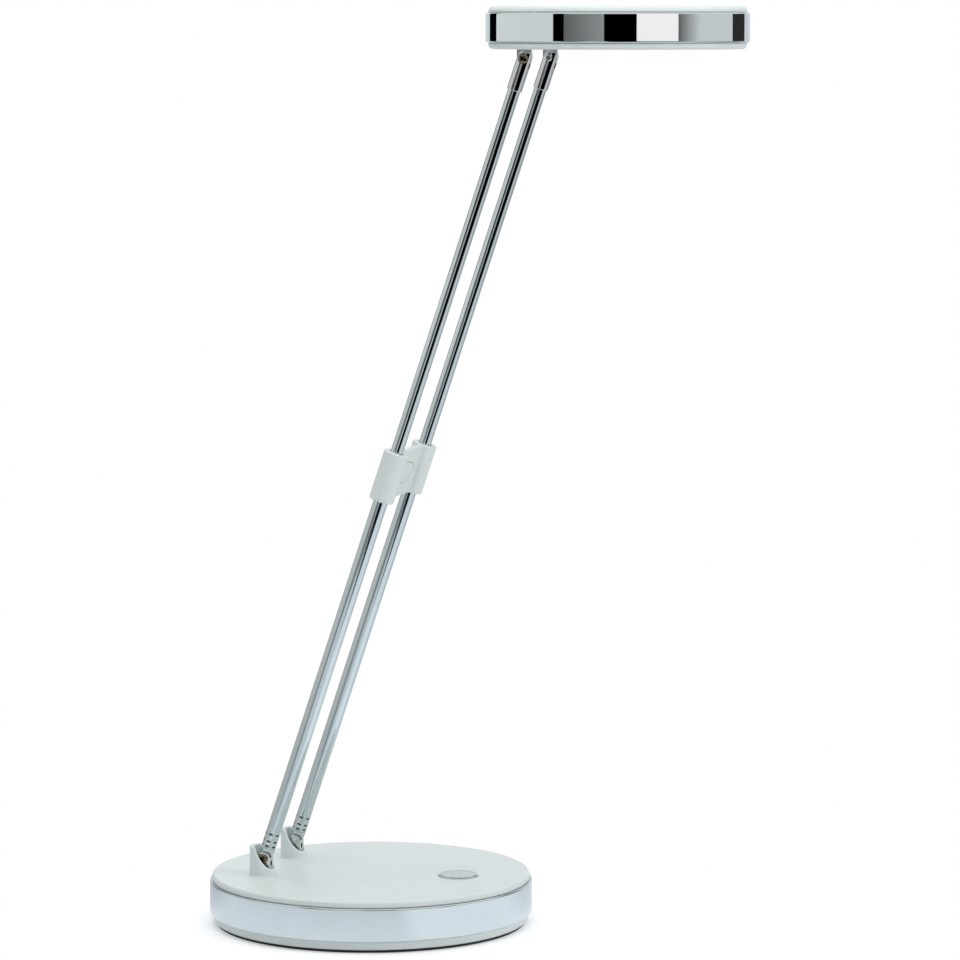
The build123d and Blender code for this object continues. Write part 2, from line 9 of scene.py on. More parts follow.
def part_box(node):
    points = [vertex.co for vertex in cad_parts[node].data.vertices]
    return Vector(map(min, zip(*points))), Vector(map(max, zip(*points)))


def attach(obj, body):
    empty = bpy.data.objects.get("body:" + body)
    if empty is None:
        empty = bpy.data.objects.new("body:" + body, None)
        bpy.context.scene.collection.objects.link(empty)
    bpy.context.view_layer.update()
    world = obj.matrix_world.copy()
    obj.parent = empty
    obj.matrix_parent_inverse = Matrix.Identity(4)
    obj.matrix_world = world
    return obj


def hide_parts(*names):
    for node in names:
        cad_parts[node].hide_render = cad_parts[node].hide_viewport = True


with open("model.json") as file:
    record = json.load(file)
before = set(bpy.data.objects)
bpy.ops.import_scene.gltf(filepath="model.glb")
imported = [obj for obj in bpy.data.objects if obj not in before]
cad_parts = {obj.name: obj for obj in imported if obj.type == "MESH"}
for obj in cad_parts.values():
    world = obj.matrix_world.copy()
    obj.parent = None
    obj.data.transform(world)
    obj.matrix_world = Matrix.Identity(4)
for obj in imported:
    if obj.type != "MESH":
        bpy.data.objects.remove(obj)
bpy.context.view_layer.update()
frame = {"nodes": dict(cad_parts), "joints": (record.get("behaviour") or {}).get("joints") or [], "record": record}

# Folding desk lamp. Each piece is shaped in millimetres about its own axis, then set into the frame,
# which is in metres.
scene = bpy.context.scene
mm = 0.001
joints = {joint["name"]: joint for joint in frame["joints"]}


def place(origin, tilt=0.0):
    return Matrix.Translation(origin) @ Matrix.Rotation(tilt, 4, "Y") @ Matrix.Scale(mm, 4)


def middle(node):
    low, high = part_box(node)
    return (low + high) / 2


baseHinge = Vector(joints["arm_tilt"]["pos_m"])
topHinge = Vector(joints["head_tilt"]["pos_m"])
armAxis = Vector(joints["arm_slide"]["axis"])
armTilt = math.atan2(armAxis.x, armAxis.z)
armLength = (topHinge - baseHinge).length / mm
tubeOffset = middle("upper_tube_rear").y / mm
buttonX = middle("button_cap").x / mm
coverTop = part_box("base_cover")[1].z / mm
headSpot = Vector((middle("head_band").x, 0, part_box("head_lower_cover")[0].z))

tableFrame = place((0, 0, 0))
forkFrame = place(baseHinge)
armFrame = place(baseHinge, armTilt)
ferruleFrame = place(topHinge, armTilt)
tabFrame = place(topHinge)
headFrame = place(headSpot)
cupFrame = place((baseHinge.x, 0, coverTop * mm))
print("frame loaded,", len(frame["nodes"]), "nodes")


def onSide(base, side):  # rear pieces mirror the front ones
    if side == "front":
        return base @ Matrix.Translation((0, -tubeOffset, 0))
    return base @ Matrix.Translation((0, tubeOffset, 0)) @ Matrix.Scale(-1, 4, (0, 1, 0))


# Finishes

noiseSpan = (0.3, 0.7)  # where a noise pattern has nearly all its values


def addNode(tree, kind, values=(), links=(), **settings):  # inputs by name, or by number where names repeat
    made = tree.nodes.new(kind if "Node" in kind else "ShaderNode" + kind)
    for name, value in settings.items():
        setattr(made, name, value)
    for name, value in dict(values).items():
        made.inputs[name].default_value = value
    for name, source in dict(links).items():
        tree.links.new(source, made.inputs[name])
    return made


def newFinish(name, colour, roughness, metallic=0.0):
    material = bpy.data.materials.new(name)
    material.use_nodes = True
    shader = material.node_tree.nodes["Principled BSDF"]
    shader.inputs["Base Color"].default_value = (*colour, 1)
    shader.inputs["Roughness"].default_value = roughness
    shader.inputs["Metallic"].default_value = metallic
    return material, material.node_tree, shader


def speckle(tree, scale, detail=3.0, turn=(0, 0, 0), stretch=(1, 1, 1)):
    where = addNode(tree, "TexCoord").outputs["Object"]
    fit = addNode(tree, "Mapping", {"Rotation": turn, "Scale": stretch}, {"Vector": where})
    grain = addNode(tree, "TexNoise", {"Scale": scale, "Detail": detail}, {"Vector": fit.outputs["Vector"]})
    return grain.outputs["Fac"]


def rings(tree, centre, pitch):  # fine turned rings about an upright axis
    where = addNode(tree, "TexCoord").outputs["Object"]
    flat = {"Location": (-centre.x, -centre.y, 0), "Scale": (1, 1, 0)}
    fit = addNode(tree, "Mapping", flat, {"Vector": where}).outputs["Vector"]
    length = addNode(tree, "VectorMath", (), {0: fit}, operation="LENGTH").outputs["Value"]
    wave = addNode(tree, "Math", {1: 2 * math.pi / pitch}, {0: length}, operation="MULTIPLY")
    return addNode(tree, "Math", (), {0: wave.outputs["Value"]}, operation="SINE").outputs["Value"]


def vary(tree, source, target, low, high):
    limits = {"From Min": noiseSpan[0], "From Max": noiseSpan[1], "To Min": low, "To Max": high}
    span = addNode(tree, "MapRange", limits, {"Value": source})
    tree.links.new(span.outputs["Result"], target)


def shift(tree, source, target, colourA, colourB):
    ramp = addNode(tree, "ValToRGB", (), {"Fac": source})
    for element, position, colour in zip(ramp.color_ramp.elements, noiseSpan, (colourA, colourB)):
        element.position = position
        element.color = (*colour, 1)
    tree.links.new(ramp.outputs["Color"], target)


def relief(tree, source, shader, strength, depth):
    bump = addNode(tree, "Bump", {"Strength": strength, "Distance": depth}, {"Height": source})
    tree.links.new(bump.outputs["Normal"], shader.inputs["Normal"])


plastic = {"cloud": 38.0, "gloss": 150.0, "grainDetail": 2.0, "grainDepth": 0.00006}


def mouldedPlastic(name, colourA, colourB, roughness, grainScale, grain):
    material, tree, shader = newFinish(name, colourA, roughness[0])
    shift(tree, speckle(tree, plastic["cloud"]), shader.inputs["Base Color"], colourA, colourB)
    vary(tree, speckle(tree, plastic["gloss"]), shader.inputs["Roughness"], *roughness)
    relief(tree, speckle(tree, grainScale, plastic["grainDetail"]), shader, grain, plastic["grainDepth"])
    return material


plate = {"cloud": 60.0, "gloss": (420.0, 4.0), "grain": (900.0, 2.0), "grainDepth": 0.00002}


def platedMetal(name, colourA, colourB, roughness, grain, turn=(0, 0, 0), stretch=(1, 1, 1)):
    material, tree, shader = newFinish(name, colourA, roughness[0], 1.0)
    shift(tree, speckle(tree, plate["cloud"]), shader.inputs["Base Color"], colourA, colourB)
    vary(tree, speckle(tree, *plate["gloss"], turn, stretch), shader.inputs["Roughness"], *roughness)
    relief(tree, speckle(tree, *plate["grain"], turn, stretch), shader, grain, plate["grainDepth"])
    return material


def tintMarked(material, markName, colour):  # a mark on the mesh gets a colour: painted shade in dents, grooves and cross recesses, and the own colour of a bare screw end
    tree = material.node_tree
    target = tree.nodes["Principled BSDF"].inputs["Base Color"]
    mark = addNode(tree, "Attribute", attribute_name=markName)
    links = {"Factor": mark.outputs["Fac"], "A": target.links[0].from_socket}
    tint = addNode(tree, "Mix", {"B": (*colour, 1)}, links, data_type="RGBA")
    tree.links.new(tint.outputs["Result"], target)


opal = {"colours": ((0.80, 0.80, 0.77), (0.84, 0.84, 0.81)), "roughness": 0.32, "cloud": 90.0, "milk": 0.25,
        "milkReach": (0.004, 0.004, 0.0035), "ringPitch": 0.0008, "ringShare": 0.25, "ringDepth": 0.00008}


def opalAcrylic(name):
    material, tree, shader = newFinish(name, opal["colours"][0], opal["roughness"])
    shader.inputs["Subsurface Weight"].default_value = opal["milk"]
    shader.inputs["Subsurface Radius"].default_value = opal["milkReach"]
    shader.inputs["Subsurface Scale"].default_value = 1.0
    shift(tree, speckle(tree, opal["cloud"]), shader.inputs["Base Color"], *opal["colours"])
    relief(tree, rings(tree, headSpot, opal["ringPitch"]), shader, opal["ringShare"], opal["ringDepth"])
    return material


board = {"roughness": 0.35, "roughnessSpan": (0.28, 0.42), "gloss": 300.0, "weave": 700.0, "weaveDetail": 1.0,
         "stretch": (1, 0.15, 1)}


def circuitBoard(name, colourA, colourB):
    material, tree, shader = newFinish(name, colourA, board["roughness"])
    weave = speckle(tree, board["weave"], board["weaveDetail"], stretch=board["stretch"])
    shift(tree, weave, shader.inputs["Base Color"], colourA, colourB)
    vary(tree, speckle(tree, board["gloss"]), shader.inputs["Roughness"], *board["roughnessSpan"])
    return material


# Name, two colours, lowest and highest roughness, grain
plastics = {
    "white_plastic": ("satinWhite", (0.675, 0.74, 0.735), (0.70, 0.76, 0.755), (0.34, 0.44), 2600.0, 0.10),
    "foot_rubber": ("footRubber", (0.012, 0.012, 0.013), (0.022, 0.022, 0.023), (0.75, 0.92), 1500.0, 0.5),
    "black_plastic": (
        "blackPlastic", (0.014, 0.014, 0.015), (0.022, 0.022, 0.024), (0.32, 0.46), 2400.0, 0.12),
    "switch_plastic": ("naturalPlastic", (0.55, 0.54, 0.50), (0.60, 0.59, 0.55), (0.38, 0.50), 2400.0, 0.10),
    "red_lead": ("redLead", (0.38, 0.012, 0.010), (0.44, 0.020, 0.015), (0.40, 0.52), 1800.0, 0.10),
    "black_lead": ("blackLead", (0.014, 0.014, 0.015), (0.024, 0.024, 0.026), (0.40, 0.52), 1800.0, 0.10),
    "led_phosphor": ("phosphor", (0.72, 0.52, 0.09), (0.80, 0.62, 0.16), (0.18, 0.30), 1500.0, 0.08),
}
alongTube = (0, -armTilt, 0), (4, 4, 0.04)  # drawing marks run along the tubes
metals = {
    "chrome": ("brightChrome", (0.58, 0.625, 0.635), (0.60, 0.645, 0.655), (0.015, 0.035), 0.002),
    "tube_chrome": ("tubeChrome", (0.56, 0.62, 0.63), (0.58, 0.64, 0.65), (0.015, 0.035), 0.001, *alongTube),
    "nickel": ("polishedNickel", (0.60, 0.61, 0.615), (0.65, 0.655, 0.655), (0.02, 0.05), 0.001),
    "screw_brass": ("dullBrass", (0.17, 0.13, 0.07), (0.33, 0.27, 0.18), (0.10, 0.22), 0.05),
    "contact_brass": ("plainBrass", (0.58, 0.42, 0.17), (0.66, 0.50, 0.24), (0.18, 0.34), 0.10),
    "zinc_steel": ("zincedSteel", (0.44, 0.45, 0.47), (0.54, 0.55, 0.57), (0.22, 0.36), 0.10),
    "ballast_steel": ("plainSteel", (0.24, 0.24, 0.25), (0.32, 0.31, 0.30), (0.35, 0.55), 0.20),
}
finishes = {
    "opal": opalAcrylic("opalAcrylic"),
    "board": circuitBoard("greenBoard", (0.010, 0.075, 0.022), (0.020, 0.120, 0.038)),
    "led_board": circuitBoard("whiteBoard", (0.66, 0.66, 0.64), (0.72, 0.72, 0.70)),
}
finishes.update({slot: mouldedPlastic(*look) for slot, look in plastics.items()})
finishes.update({slot: platedMetal(*look) for slot, look in metals.items()})
# painted shade: the floor of the clip's oval groove is coloured a darker warm beige
tintMarked(finishes["white_plastic"], "recessShade", (0.50, 0.43, 0.31))
# painted shade: the crimp dents on the tubes are coloured near black
tintMarked(finishes["tube_chrome"], "recessShade", (0.05, 0.05, 0.055))
# painted shade: the floor of each screw's cross recess is coloured near black
tintMarked(finishes["screw_brass"], "recessShade", (0.02, 0.016, 0.01))
tintMarked(finishes["screw_brass"], "bareEnd", (0.60, 0.60, 0.58))
print("finishes made:", len(finishes))


# Mesh tools, all in millimetres

past = 9.0  # cutters reach this far past a small piece
mergeGap = 0.01  # shorter edges would hold a bevel back
sharpAngle = math.radians(38)
roundShare = 0.999  # a half round just short of its full radius
bandRound, coverRound, tubeRound = 512, 256, 144  # segments round a piece
capRound, smallRound, pinRound = 128, 96, 64
bandSteps, coverSteps, earSteps = 10, 12, 24  # steps in a rounding


def turnSteps(count):
    return [2 * math.pi * k / count for k in range(count)]


def smoothStep(value):
    value = min(max(value, 0.0), 1.0)
    return value * value * (3 - 2 * value)


def roundedOutline(corners, steps=8):  # a corner is (across, up) or (across, up, rounding)
    points = []
    for index, corner in enumerate(corners):
        here = Vector(corner[:2])
        if len(corner) == 2:
            points.append(here)
            continue
        back = (Vector(corners[index - 1][:2]) - here).normalized()
        on = (Vector(corners[(index + 1) % len(corners)][:2]) - here).normalized()
        half = back.angle(on) / 2
        centre = here + (back + on).normalized() * corner[2] / math.sin(half)
        start = here + back * corner[2] / math.tan(half) - centre
        end = here + on * corner[2] / math.tan(half) - centre
        turn = start.angle_signed(end)
        for step in range(steps + 1):
            points.append(centre + Matrix.Rotation(-turn * step / steps, 2) @ start)
    return points


def facedOut(bm):
    bmesh.ops.recalc_face_normals(bm, faces=bm.faces)
    return bm


def joinLoops(bm, loops):  # faces between each loop of points and the next
    for first, second in zip(loops, loops[1:]):
        for k in range(len(first)):
            n = (k + 1) % len(first)
            bm.faces.new((first[k], first[n], second[n], second[k]))


def turned(corners, segments=192, steps=8):  # lathe about Z
    bm = bmesh.new()
    loops = []
    for across, up in roundedOutline(corners, steps):
        if across < 1e-6:  # on the axis
            loops.append([bm.verts.new((0, 0, up))])
            continue
        ring = [(across * math.cos(a), across * math.sin(a), up) for a in turnSteps(segments)]
        loops.append([bm.verts.new(spot) for spot in ring])
    for first, second in zip(loops, loops[1:] + loops[:1]):
        if len(first) > 1 and len(second) > 1:
            joinLoops(bm, (first, second))
        elif len(first) > 1 or len(second) > 1:  # flat caps are one face
            bm.faces.new(max(first, second, key=len))
    lone = [vert for vert in bm.verts if not vert.link_faces]
    bmesh.ops.delete(bm, geom=lone, context="VERTS")
    return facedOut(bm)


def prism(corners, low, high, steps=12):  # an outline in X and Z, drawn out along Y
    bm = bmesh.new()
    outline = roundedOutline(corners, steps)
    near = [bm.verts.new((x, low, z)) for x, z in outline]
    far = [bm.verts.new((x, high, z)) for x, z in outline]
    bm.faces.new(near)
    bm.faces.new(far)
    joinLoops(bm, (near, far))
    bmesh.ops.remove_doubles(bm, verts=bm.verts, dist=mergeGap)
    return facedOut(bm)


def spun(bm, degrees, axis):
    bmesh.ops.rotate(bm, verts=bm.verts, matrix=Matrix.Rotation(math.radians(degrees), 3, axis))
    return bm


def crossRod(radius, low, high):  # along Y
    return spun(turned([(0, low), (radius, low), (radius, high), (0, high)], pinRound), -90, "X")


def asObject(name, bm, shift=(0, 0, 0)):
    bmesh.ops.translate(bm, verts=bm.verts, vec=shift)
    mesh = bpy.data.meshes.new(name)
    bm.to_mesh(mesh)
    bm.free()
    made = bpy.data.objects.new(name, mesh)
    scene.collection.objects.link(made)
    return made


def settle(made):  # turns modifiers into plain mesh
    graph = bpy.context.evaluated_depsgraph_get()
    mesh = bpy.data.meshes.new_from_object(made.evaluated_get(graph))
    made.modifiers.clear()
    made.data = mesh


def carve(made, bm, shift=(0, 0, 0), operation="DIFFERENCE"):
    other = asObject("cutter", bm, shift)
    change = made.modifiers.new("carve", "BOOLEAN")
    change.operation = operation
    change.solver = "EXACT"
    change.object = other
    settle(made)
    bpy.data.objects.remove(other)


def soften(made, width, segments=3, angle=35):
    change = made.modifiers.new("soften", "BEVEL")
    change.width = width
    change.segments = segments
    change.limit_method = "ANGLE"
    change.angle_limit = math.radians(angle)
    settle(made)


def gather(made, others):  # joins loose shells into one piece
    bm = bmesh.new()
    bm.from_mesh(made.data)
    for other in others:
        bm.from_mesh(other.data)
        bpy.data.objects.remove(other)
    bm.to_mesh(made.data)
    bm.free()


def markPoints(mesh, name, values):
    mesh.attributes.new(name, "FLOAT", "POINT").data.foreach_set("value", values)


def dress(made, where, body, slot, *nodes):
    made.data.transform(where)
    if where.determinant() < 0:
        made.data.flip_normals()
    made.data.shade_smooth()
    made.data.set_sharp_from_angle(angle=sharpAngle)
    even = made.modifiers.new("evenShading", "WEIGHTED_NORMAL")
    even.keep_sharp = True
    settle(made)
    made.data.materials.clear()
    made.data.materials.append(finishes[slot])
    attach(made, body)
    if nodes:
        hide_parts(*nodes)
    return made


# Sections that base and head share

def bandSection(size):
    low, high = size["low"], size["high"]
    return [(size["bore"], low, size["boreEdge"]), (size["radius"], low, size["edge"]),
            (size["radius"], high, size["edge"]), (size["bore"], high, size["boreEdge"])]


def coverSection(size, shell, face, seat, inside, opening=(0,)):  # opening is its radius and rounding
    radius, gap, skirt, bore = size["radius"], size["gap"], shell["skirt"], shell["skirtBore"]
    step = math.copysign(gap, face - seat)  # leaves a shadow line at the band
    return [(opening[0], face, *opening[1:]), (radius, face, size["edge"]), (radius, seat + step),
            (radius - gap, seat), (skirt, seat), (skirt, shell["joint"]), (bore, shell["joint"]),
            (bore, inside), (opening[0], inside)]


# Base

foot = {"radius": 66.9, "thickness": 1.2, "edge": 0.35}
made = asObject("footPad", turned([
    (0, 0), (foot["radius"], 0, foot["edge"]), (foot["radius"], foot["thickness"], foot["edge"]),
    (0, foot["thickness"])]))
dress(made, tableFrame, "base", "foot_rubber", "foot_pad")

baseShell = {"joint": 12.1, "skirt": 67.2, "skirtBore": 65.4}  # walls of tray and cover, inside the band
band = {"low": 5.0, "high": 19.2, "radius": 70.0, "bore": 67.4, "edge": 0.7, "boreEdge": 0.2}
inlet = {"height": 12.1, "radius": 5.0, "flare": 0.35, "beyond": 1.0, "into": 3.0}


def lengthRod(corners, segments=pinRound):  # a lathe about the power inlet's axis
    bm = spun(turned(corners, segments), 90, "Y")
    bmesh.ops.translate(bm, verts=bm.verts, vec=(0, 0, inlet["height"]))
    return bm


def inletCutter():  # round hole in the rear wall, with a small chamfer outside
    radius, flare, beyond = inlet["radius"], inlet["flare"], inlet["beyond"]
    outside, inside = -band["radius"] - beyond, -baseShell["skirtBore"] + inlet["into"]
    return lengthRod([(0, inside), (radius, inside), (radius, -band["radius"] + flare),
                      (radius + flare + beyond, outside), (0, outside)], smallRound)


tray = {"low": 1.2, "flat": 67.9, "lowEdge": 0.9, "ledge": 68.6, "ledgeTop": 5.0, "wall": 1.0,
        "wallRound": 0.8, "ledgeEdge": 0.15, "floor": 3.2}
ledge, top, skirt, bore = tray["ledge"], tray["ledgeTop"], baseShell["skirt"], baseShell["skirtBore"]
made = asObject("baseTray", turned([
    (0, tray["low"]), (tray["flat"], tray["low"], tray["lowEdge"]),
    (ledge, top - tray["wall"], tray["wallRound"]), (ledge, top, tray["ledgeEdge"]), (skirt, top),
    (skirt, baseShell["joint"]), (bore, baseShell["joint"]), (bore, tray["floor"]), (0, tray["floor"])],
    coverRound))
carve(made, inletCutter())
dress(made, tableFrame, "base", "white_plastic", "base_tray")

made = asObject("baseBand", turned(bandSection(band), bandRound, bandSteps))
carve(made, inletCutter())
dress(made, tableFrame, "base", "chrome", "base_band")

cover = {"radius": 68.9, "under": 19.9, "edge": 1.1, "gap": 0.4}
button = {"radius": 8.3, "hole": 8.55, "holeEdge": 0.3, "holeLow": 17.9, "proud": 0.9, "edge": 0.45,
          "rim": 0.9, "rimRound": 0.35, "dish": 0.2, "dishRound": 2.5, "flange": 9.3, "flangeLow": 18.7,
          "flangeTop": 19.6, "stem": 2.4, "stemLow": 17.9}
coverCorners = coverSection(cover, baseShell, coverTop, band["high"], cover["under"])
made = asObject("baseCover", turned(coverCorners, coverRound, coverSteps))
hole, holeEdge, holeLow = button["hole"], button["holeEdge"], button["holeLow"]
carve(made, turned([
    (0, holeLow), (hole, holeLow), (hole, coverTop - holeEdge), (hole + 2 * holeEdge, coverTop + holeEdge),
    (0, coverTop + holeEdge)], smallRound), (buttonX, 0, 0))
carve(made, inletCutter())
dress(made, tableFrame, "base", "white_plastic", "base_cover")

radius, rim, top = button["radius"], button["rim"], coverTop + button["proud"]
dishZ, flange, stem = top - button["dish"], button["flange"], button["stem"]
made = asObject("pushButton", turned([
    (0, dishZ), (radius - 2 * rim, dishZ, button["dishRound"]), (radius - rim, top, button["rimRound"]),
    (radius, top, button["edge"]), (radius, button["flangeTop"]), (flange, button["flangeTop"]),
    (flange, button["flangeLow"]), (stem, button["flangeLow"]), (stem, button["stemLow"]),
    (0, button["stemLow"])], capRound), (buttonX, 0, 0))
dress(made, tableFrame, "button", "chrome", "button_cap")

jack = {"face": -64.9, "back": -51.9, "halfWidth": 4.6, "halfHeight": 4.8, "socket": 3.1, "depth": 10.0,
        "pin": 1.0, "pinLength": 9.0, "pinEdge": 0.5, "edge": 0.2, "step": 0.5, "beyond": 1.0}
face, back, bore = jack["face"], jack["back"], jack["socket"]
jackLow, jackHigh = inlet["height"] - jack["halfHeight"], inlet["height"] + jack["halfHeight"]
made = asObject("powerJack", prism([(face, jackLow), (back, jackLow), (back, jackHigh), (face, jackHigh)],
                                   -jack["halfWidth"], jack["halfWidth"]))
socketEnd, mouth, front = face + jack["depth"], bore + jack["step"], face - jack["beyond"]
carve(made, lengthRod([(0, socketEnd), (bore, socketEnd), (bore, face + jack["step"]), (mouth, face),
                       (mouth, front), (0, front)]))
soften(made, jack["edge"])
dress(made, tableFrame, "base", "black_plastic", "dc_jack")
pinTip = socketEnd - jack["pinLength"]
made = asObject("powerJackPin", lengthRod([
    (0, socketEnd), (jack["pin"], socketEnd), (jack["pin"], pinTip, jack["pinEdge"]), (0, pinTip)]))
dress(made, tableFrame, "base", "contact_brass")
print("base made")


# Hinges

cup = {"radius": 5.9, "axisX": -0.75, "height": 12.9, "floor": 0.8, "rim": 0.5, "shoulder": 1.6, "flare": 0.5,
       "footEdge": 0.15, "scoopRadius": 16.4, "scoopX": 12.9, "scoopZ": 16.6, "segments": 320, "steps": 6,
       "mergeGap": 1e-4}
pocket = {"middleX": -0.45, "halfX": 3.65, "halfY": 4.2, "corner": 2.8}


def cupRim(x):  # height of the scooped rim over a place on the folding line
    shoulderZ = cup["height"] - cup["shoulder"]
    reach, drop = cup["scoopRadius"] + cup["shoulder"], cup["scoopZ"] - shoulderZ
    shoulderX = cup["scoopX"] - math.sqrt(reach ** 2 - drop ** 2)
    meetX = shoulderX + cup["shoulder"] * (cup["scoopX"] - shoulderX) / reach
    if x <= shoulderX:
        return cup["height"]
    if x < meetX:
        return shoulderZ + math.sqrt(cup["shoulder"] ** 2 - (x - shoulderX) ** 2)
    return cup["scoopZ"] - math.sqrt(cup["scoopRadius"] ** 2 - (x - cup["scoopX"]) ** 2)


def rimSlope(x, probe=0.01):
    return (cupRim(x + probe) - cupRim(x - probe)) / (2 * probe)


def pocketReach(angle):  # from the pocket's middle to its wall, a rectangle with round corners
    across, along = abs(math.cos(angle)), abs(math.sin(angle))
    corner = Vector((pocket["halfX"] - pocket["corner"], pocket["halfY"] - pocket["corner"]))
    if across * corner.y > along * pocket["halfX"]:
        return pocket["halfX"] / across
    if along * corner.x > across * pocket["halfY"]:
        return pocket["halfY"] / along
    reach = across * corner.x + along * corner.y
    return reach + math.sqrt(reach ** 2 - corner.length_squared + pocket["corner"] ** 2)


def cupSection():  # (place on the wall, step sideways, step up or down), from the foot to the floor
    flare, rim, edge = cup["flare"], cup["rim"], cup["footEdge"]
    quarter = [math.pi / 2 * k / cup["steps"] for k in range(cup["steps"] + 1)]
    arc = [(1 - math.sin(a), 1 - math.cos(a)) for a in quarter]
    section = [("foot", flare, 0.0), ("foot", flare, edge)]
    section += [("foot", flare * s, edge + flare * c) for s, c in arc]
    section += [("outerRim", rim * c, rim * s) for s, c in arc]
    section += [("innerRim", rim * s, rim * c) for s, c in arc]
    return section + [("floor", 0.0, cup["floor"])]


def hingeCup():  # the wall section is carried round, each place with its own rim height
    bm = bmesh.new()
    loops = []
    for kind, inset, up in cupSection():
        loop = []
        for angle in turnSteps(cup["segments"]):
            if kind in ("foot", "outerRim"):
                radius, middleX = cup["radius"] + (inset if kind == "foot" else -inset), cup["axisX"]
            else:
                radius, middleX = pocketReach(angle) + inset, pocket["middleX"]
            x, y = middleX + radius * math.cos(angle), radius * math.sin(angle)
            height = up
            if kind in ("outerRim", "innerRim"):
                height = cupRim(x) - up * math.hypot(1, rimSlope(x) * math.sin(angle))
            loop.append(bm.verts.new((x, y, height)))
        loops.append(loop)
    joinLoops(bm, loops)
    bm.faces.new(loops[0])
    bm.faces.new(loops[-1])
    bmesh.ops.remove_doubles(bm, verts=bm.verts, dist=cup["mergeGap"])
    return facedOut(bm)


fork = {"halfX": 2.95, "halfY": 2.6, "slot": 1.08, "slotBelow": 3.6, "stud": 1.95, "studLow": 13.4,
        "studEdge": 0.3, "edge": 0.28, "pinHole": 1.5}
forkFloor = coverTop + cup["floor"] - baseHinge.z / mm


def earOutline(half, end):  # straight sides from an end to a half round about the hinge axis
    tip = half if end < 0 else -half
    return [(-half, end), (half, end), (half, tip, half * roundShare), (-half, tip, half * roundShare)]


def slotCutter(size):  # open upwards, for the tongue between two ears
    low = -size["slotBelow"]
    return prism([(-past, low), (past, low), (past, past), (-past, past)], -size["slot"], size["slot"])


def hingeFork(name):
    ears = earOutline(fork["halfX"], forkFloor)
    made = asObject(name, prism(ears, -fork["halfY"], fork["halfY"], earSteps))
    carve(made, slotCutter(fork))
    soften(made, fork["edge"])
    carve(made, crossRod(fork["pinHole"], -past, past))
    studLow = fork["studLow"] - baseHinge.z / mm
    stud = asObject("stud", turned([
        (0, forkFloor), (fork["stud"], forkFloor), (fork["stud"], studLow, fork["studEdge"]), (0, studLow)],
        smallRound))
    gather(made, [stud])
    return made


for side in ("front", "rear"):
    made = asObject("hingeCup." + side, hingeCup())
    dress(made, onSide(cupFrame, side), "base", "white_plastic", "hinge_cup_" + side)
    made = hingeFork("hingeFork." + side)
    dress(made, onSide(forkFrame, side), "base", "nickel", "base_fork_" + side)
print("hinge cups and forks made")


# Arm

clip = {"low": 165.6, "length": 22.0, "sleeve": 5.35, "web": 2.4, "edge": 0.7, "boreEdge": 0.15, "lip": 3.0,
        "lipDepth": 1.4, "lipEdge": 0.25, "segments": 160, "webSteps": 8}
lower = {"radius": 3.15, "bore": 2.75, "low": 4.9, "rim": 0.12, "crimpLow": 5.6, "crimpStep": 0.12,
         "crimpLoops": 57, "plainLoops": (20.0, 60.0, 100.0, 140.0)}
# The last value sets how strongly the dents are painted dark, painted shade.
dent = {"rows": (6.1, 8.3, 11.5), "count": 6, "start": 30.0, "span": 42.0, "depth": 0.25, "height": 0.9,
        "roundSoft": 1.6, "heightSoft": 1.8, "dentShade": 2.0}
upper = {"radius": 2.7, "bore": 2.3, "low": 160.0}
clipHigh = clip["low"] + clip["length"]
lipZ = clipHigh - clip["lipDepth"]


def dentShare(angle, up):  # crimp dents that hold the tube on its end fitting
    pitch = 2 * math.pi / dent["count"]
    span = math.radians(dent["span"]) / 2
    away = abs((angle - math.radians(dent["start"]) + pitch / 2) % pitch - pitch / 2)
    nearest = min(abs(up - row) for row in dent["rows"])
    sideways = dent["roundSoft"] * (1 - away / span)
    return smoothStep(sideways) * smoothStep(dent["heightSoft"] * (1 - nearest / (dent["height"] / 2)))


def lowerTube():
    rim, radius, bore, low = lower["rim"], lower["radius"], lower["bore"], lower["low"]
    crimped = [lower["crimpLow"] + lower["crimpStep"] * k for k in range(lower["crimpLoops"])]
    heights = [low + rim, *crimped, *lower["plainLoops"], lipZ - rim]
    section = [(radius - rim, low), *((radius, up) for up in heights)]
    section += [(radius - rim, lipZ), (bore, lipZ), (bore, low)]
    bm = bmesh.new()
    recessShade = bm.verts.layers.float.new("recessShade")
    loops = []
    for across, up in section:
        loop = []
        for angle in turnSteps(tubeRound):
            share = dentShare(angle, up) if across > bore + rim else 0
            reach = across - dent["depth"] * share
            vert = bm.verts.new((reach * math.cos(angle), reach * math.sin(angle), up))
            # painted shade: the dent's colour darkens with its share of the dent
            vert[recessShade] = min(1.0, dent["dentShade"] * share)
            loop.append(vert)
        loops.append(loop)
    joinLoops(bm, loops + loops[:1])
    return facedOut(bm)


endFitting = {"halfX": 2.95, "halfY": 1.0, "collar": 3.4, "sunk": 0.3, "round": 0.4, "rim": 0.12,
              "plug": 2.73, "plugHigh": 12.4, "edge": 0.15, "bevels": 2}


def tubeFoot(name):
    collarZ = endFitting["collar"]
    tongue = earOutline(endFitting["halfX"], collarZ + endFitting["sunk"])
    made = asObject(name, prism(tongue, -endFitting["halfY"], endFitting["halfY"], earSteps))
    soften(made, endFitting["edge"], endFitting["bevels"])
    carve(made, crossRod(fork["pinHole"], -past, past))
    collar = asObject("collar", turned([
        (0, collarZ), (lower["radius"], collarZ, endFitting["round"]),
        (lower["radius"], lower["low"], endFitting["rim"]), (endFitting["plug"], lower["low"]),
        (endFitting["plug"], endFitting["plugHigh"]), (0, endFitting["plugHigh"])], smallRound))
    gather(made, [collar])
    return made


ferrule = {"radius": 3.25, "length": 14.0, "bore": 8.0, "slot": 1.08, "slotBelow": 3.6, "seat": 2.25,
           "lip": 0.35, "edge": 0.16, "bevels": 2, "edgeAngle": 50, "over": 1.0}


